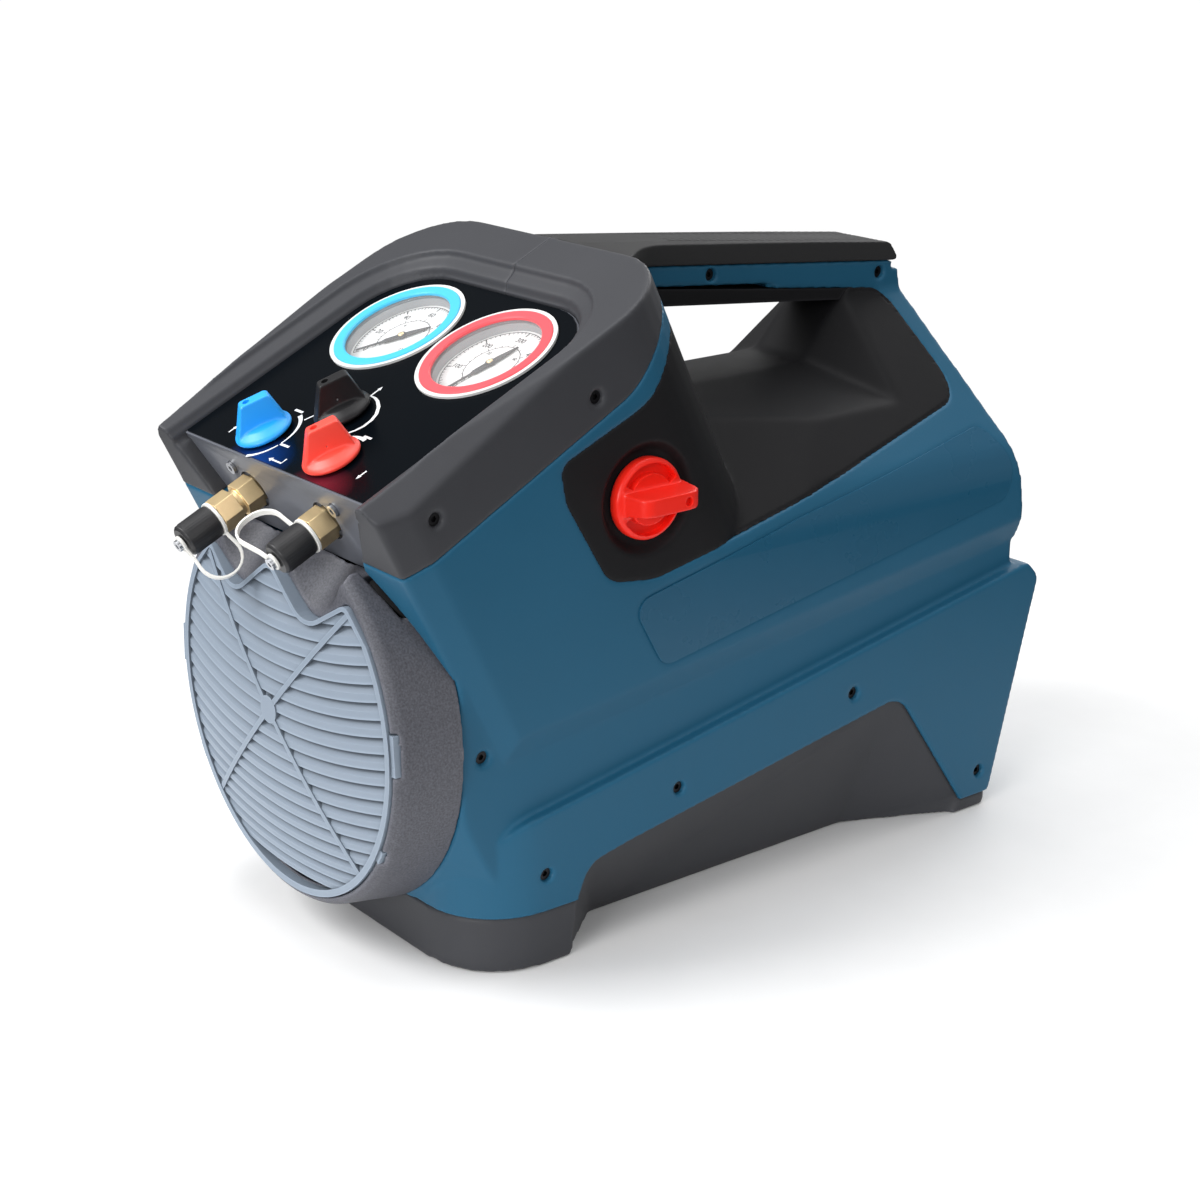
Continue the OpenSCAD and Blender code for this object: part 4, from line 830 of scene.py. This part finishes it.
def label_film(panel, side):
    """A thin film on the floor of the recess, which is found by its step all round."""
    bm = welded(panel)
    bm.normal_update()
    bm.faces.ensure_lookup_table()
    outside = Vector((side * 0.2, GRILLE_Y + LABEL_SEED[0], LABEL_SEED[1]))
    seed = BVHTree.FromBMesh(bm).ray_cast(outside, Vector((-side, 0, 0)))[2]
    todo = [bm.faces[seed]]
    floor = set(todo)
    while todo:
        face = todo.pop()
        for near in {g for e in face.edges for g in e.link_faces} - floor:
            if near.normal.angle(face.normal) < STEP_ANGLE:
                floor.add(near)
                todo.append(near)
    bmesh.ops.delete(bm, geom=[f for f in bm.faces if f not in floor], context="FACES")
    bmesh.ops.dissolve_limit(bm, angle_limit=math.radians(1), verts=bm.verts, edges=bm.edges)
    thicken(bm, (side * LABEL_THICK, 0, 0))
    bmesh.ops.recalc_face_normals(bm, faces=bm.faces)
    o = add_piece(panel.replace("side_panel", "label_film"), bm, LABEL, "case")
    o.data.set_sharp_from_angle(angle=math.radians(30))
    even = o.modifiers.new("Flats", "WEIGHTED_NORMAL")
    even.keep_sharp = True


label_film("side_panel_right", 1)
label_film("side_panel_left", -1)

# Grip ribs round the port caps: their count, the radius at their roots, and their rise from end to end
RIBS = 40
RIB_ROOT = 8.12
RIB_RISE = ((0.9, 0.0), (1.3, 0.32), (15.2, 0.32), (15.8, 0.0))


def cap_ribs(cap, x, foot):
    """A ribbed sleeve on a cap whose foot lies so far out of the port plate."""
    bm = bmesh.new()
    count = 4 * RIBS
    rings = []
    for z, rise in RIB_RISE:
        ring = []
        for i in range(count):
            a = 2 * math.pi * i / count
            r = RIB_ROOT + rise * max(0.0, math.cos(RIBS * a)) ** 0.5
            ring.append(bm.verts.new((r * math.cos(a), r * math.sin(a), foot + z)))
        rings.append(ring)
    for low, high in zip(rings, rings[1:]):
        for i in range(count):
            bm.faces.new((low[i], low[i - count + 1], high[i - count + 1], high[i]))
    bmesh.ops.transform(bm, matrix=at_port(x), verts=bm.verts)
    add_piece(cap + "_cap_ribs", bm, BLACK, cap + "_closure")


cap_ribs("inlet", -PORT_X, 26.2)
cap_ribs("outlet", PORT_X, 13.2)

# Camera at the photograph's view
PHOTO_LENS = 67.79
PHOTO_EYE = (0.89059, -0.71817, 0.52184)
PHOTO_AIM = (0, -0.01735, 0.13194)
camera_data = bpy.data.cameras.new("Camera")
camera_data.lens = PHOTO_LENS
camera_data.sensor_width = 36
camera_data.clip_end = 20
camera = bpy.data.objects.new("Camera", camera_data)
scene.collection.objects.link(camera)
camera.location = PHOTO_EYE
aim = Vector(PHOTO_AIM) - camera.location
camera.rotation_euler = aim.to_track_quat("-Z", "Y").to_euler()
scene.camera = camera


# Studio: soft lamps, white surroundings and a pale floor
def add_lamp(name, place, target, size, power):
    """A rectangular lamp that shines at a target, with its power in watts."""
    data = bpy.data.lights.new(name, "AREA")
    data.shape = "RECTANGLE"
    data.size, data.size_y = size
    data.energy = power
    o = bpy.data.objects.new(name, data)
    scene.collection.objects.link(o)
    o.location = place
    o.rotation_euler = (Vector(target) - Vector(place)).to_track_quat("-Z", "Y").to_euler()


add_lamp("Key lamp", (-1.0, -1.6, 1.7), (0, 0, 0.15), (1.2, 1.2), 50)
add_lamp("Front lamp", (0.75, -1.95, 0.6), (0, 0, 0.15), (1.0, 0.9), 22)
add_lamp("Side lamp", (1.9, -0.3, 1.1), (0, 0, 0.15), (1.2, 1.2), 6)
add_lamp("Top lamp", (-0.1, 0.3, 2.2), (0, 0, 0.2), (1.8, 1.8), 25)
add_lamp("Back lamp", (-0.8, 1.8, 1.2), (0, 0, 0.2), (1.2, 1.0), 14)

world = bpy.data.worlds.new("Studio")
scene.world = world
world.use_nodes = True
wt = world.node_tree
wt.nodes.clear()
path = wt.nodes.new("ShaderNodeLightPath")
dim = wt.nodes.new("ShaderNodeBackground")
dim.inputs["Color"].default_value = (1, 1, 1, 1)
dim.inputs["Strength"].default_value = 0.38
white = wt.nodes.new("ShaderNodeBackground")
white.inputs["Color"].default_value = (1, 1, 1, 1)
white.inputs["Strength"].default_value = 1.0
both = wt.nodes.new("ShaderNodeMixShader")
wt.links.new(path.outputs["Is Camera Ray"], both.inputs["Fac"])
wt.links.new(dim.outputs[0], both.inputs[1])
wt.links.new(white.outputs[0], both.inputs[2])
wt.links.new(both.outputs[0], wt.nodes.new("ShaderNodeOutputWorld").inputs["Surface"])

FLOOR_HALF = 12
FLOOR_DROP = 0.0005
FADE_FROM, FADE_TO = 0.30, 0.75
floor_mesh = bpy.data.meshes.new("Floor")
fb = bmesh.new()
bmesh.ops.create_grid(fb, x_segments=1, y_segments=1, size=FLOOR_HALF)
fb.to_mesh(floor_mesh)
fb.free()
floor = bpy.data.objects.new("Floor", floor_mesh)
scene.collection.objects.link(floor)
floor.location.z = cad_box[0][2] - FLOOR_DROP


def pale_floor():
    """Pale matt floor that goes over into plain white away from the machine."""
    m, t, shader = new_material("Pale floor")
    far = t.nodes.new("ShaderNodeVectorMath")
    far.operation = "LENGTH"
    t.links.new(t.nodes.new("ShaderNodeTexCoord").outputs["Object"], far.inputs[0])
    fade = t.nodes.new("ShaderNodeMapRange")
    fade.interpolation_type = "SMOOTHSTEP"
    fade.inputs["From Min"].default_value = FADE_FROM
    fade.inputs["From Max"].default_value = FADE_TO
    t.links.new(far.outputs["Value"], fade.inputs["Value"])
    mottle = math_node(t, "ADD", 0.88, math_node(t, "MULTIPLY", noise(t, 30.0, 3.0), 0.04))
    near = math_node(t, "MULTIPLY", mottle, math_node(t, "SUBTRACT", 1.0, fade.outputs[0]))
    seen = t.nodes.new("ShaderNodeLightPath").outputs["Is Camera Ray"]
    glow = math_node(t, "MULTIPLY", fade.outputs[0], seen)
    for level, socket in ((near, "Base Color"), (glow, "Emission Color")):
        grey = t.nodes.new("ShaderNodeCombineColor")
        for k in range(3):
            t.links.new(level, grey.inputs[k])
        t.links.new(grey.outputs[0], shader.inputs[socket])
    shader.inputs["Emission Strength"].default_value = 1
    shader.inputs["Roughness"].default_value = 0.8
    shader.inputs["Specular IOR Level"].default_value = 0.1
    return m


floor_mesh.materials.append(pale_floor())

scene.view_settings.view_transform = "Standard"
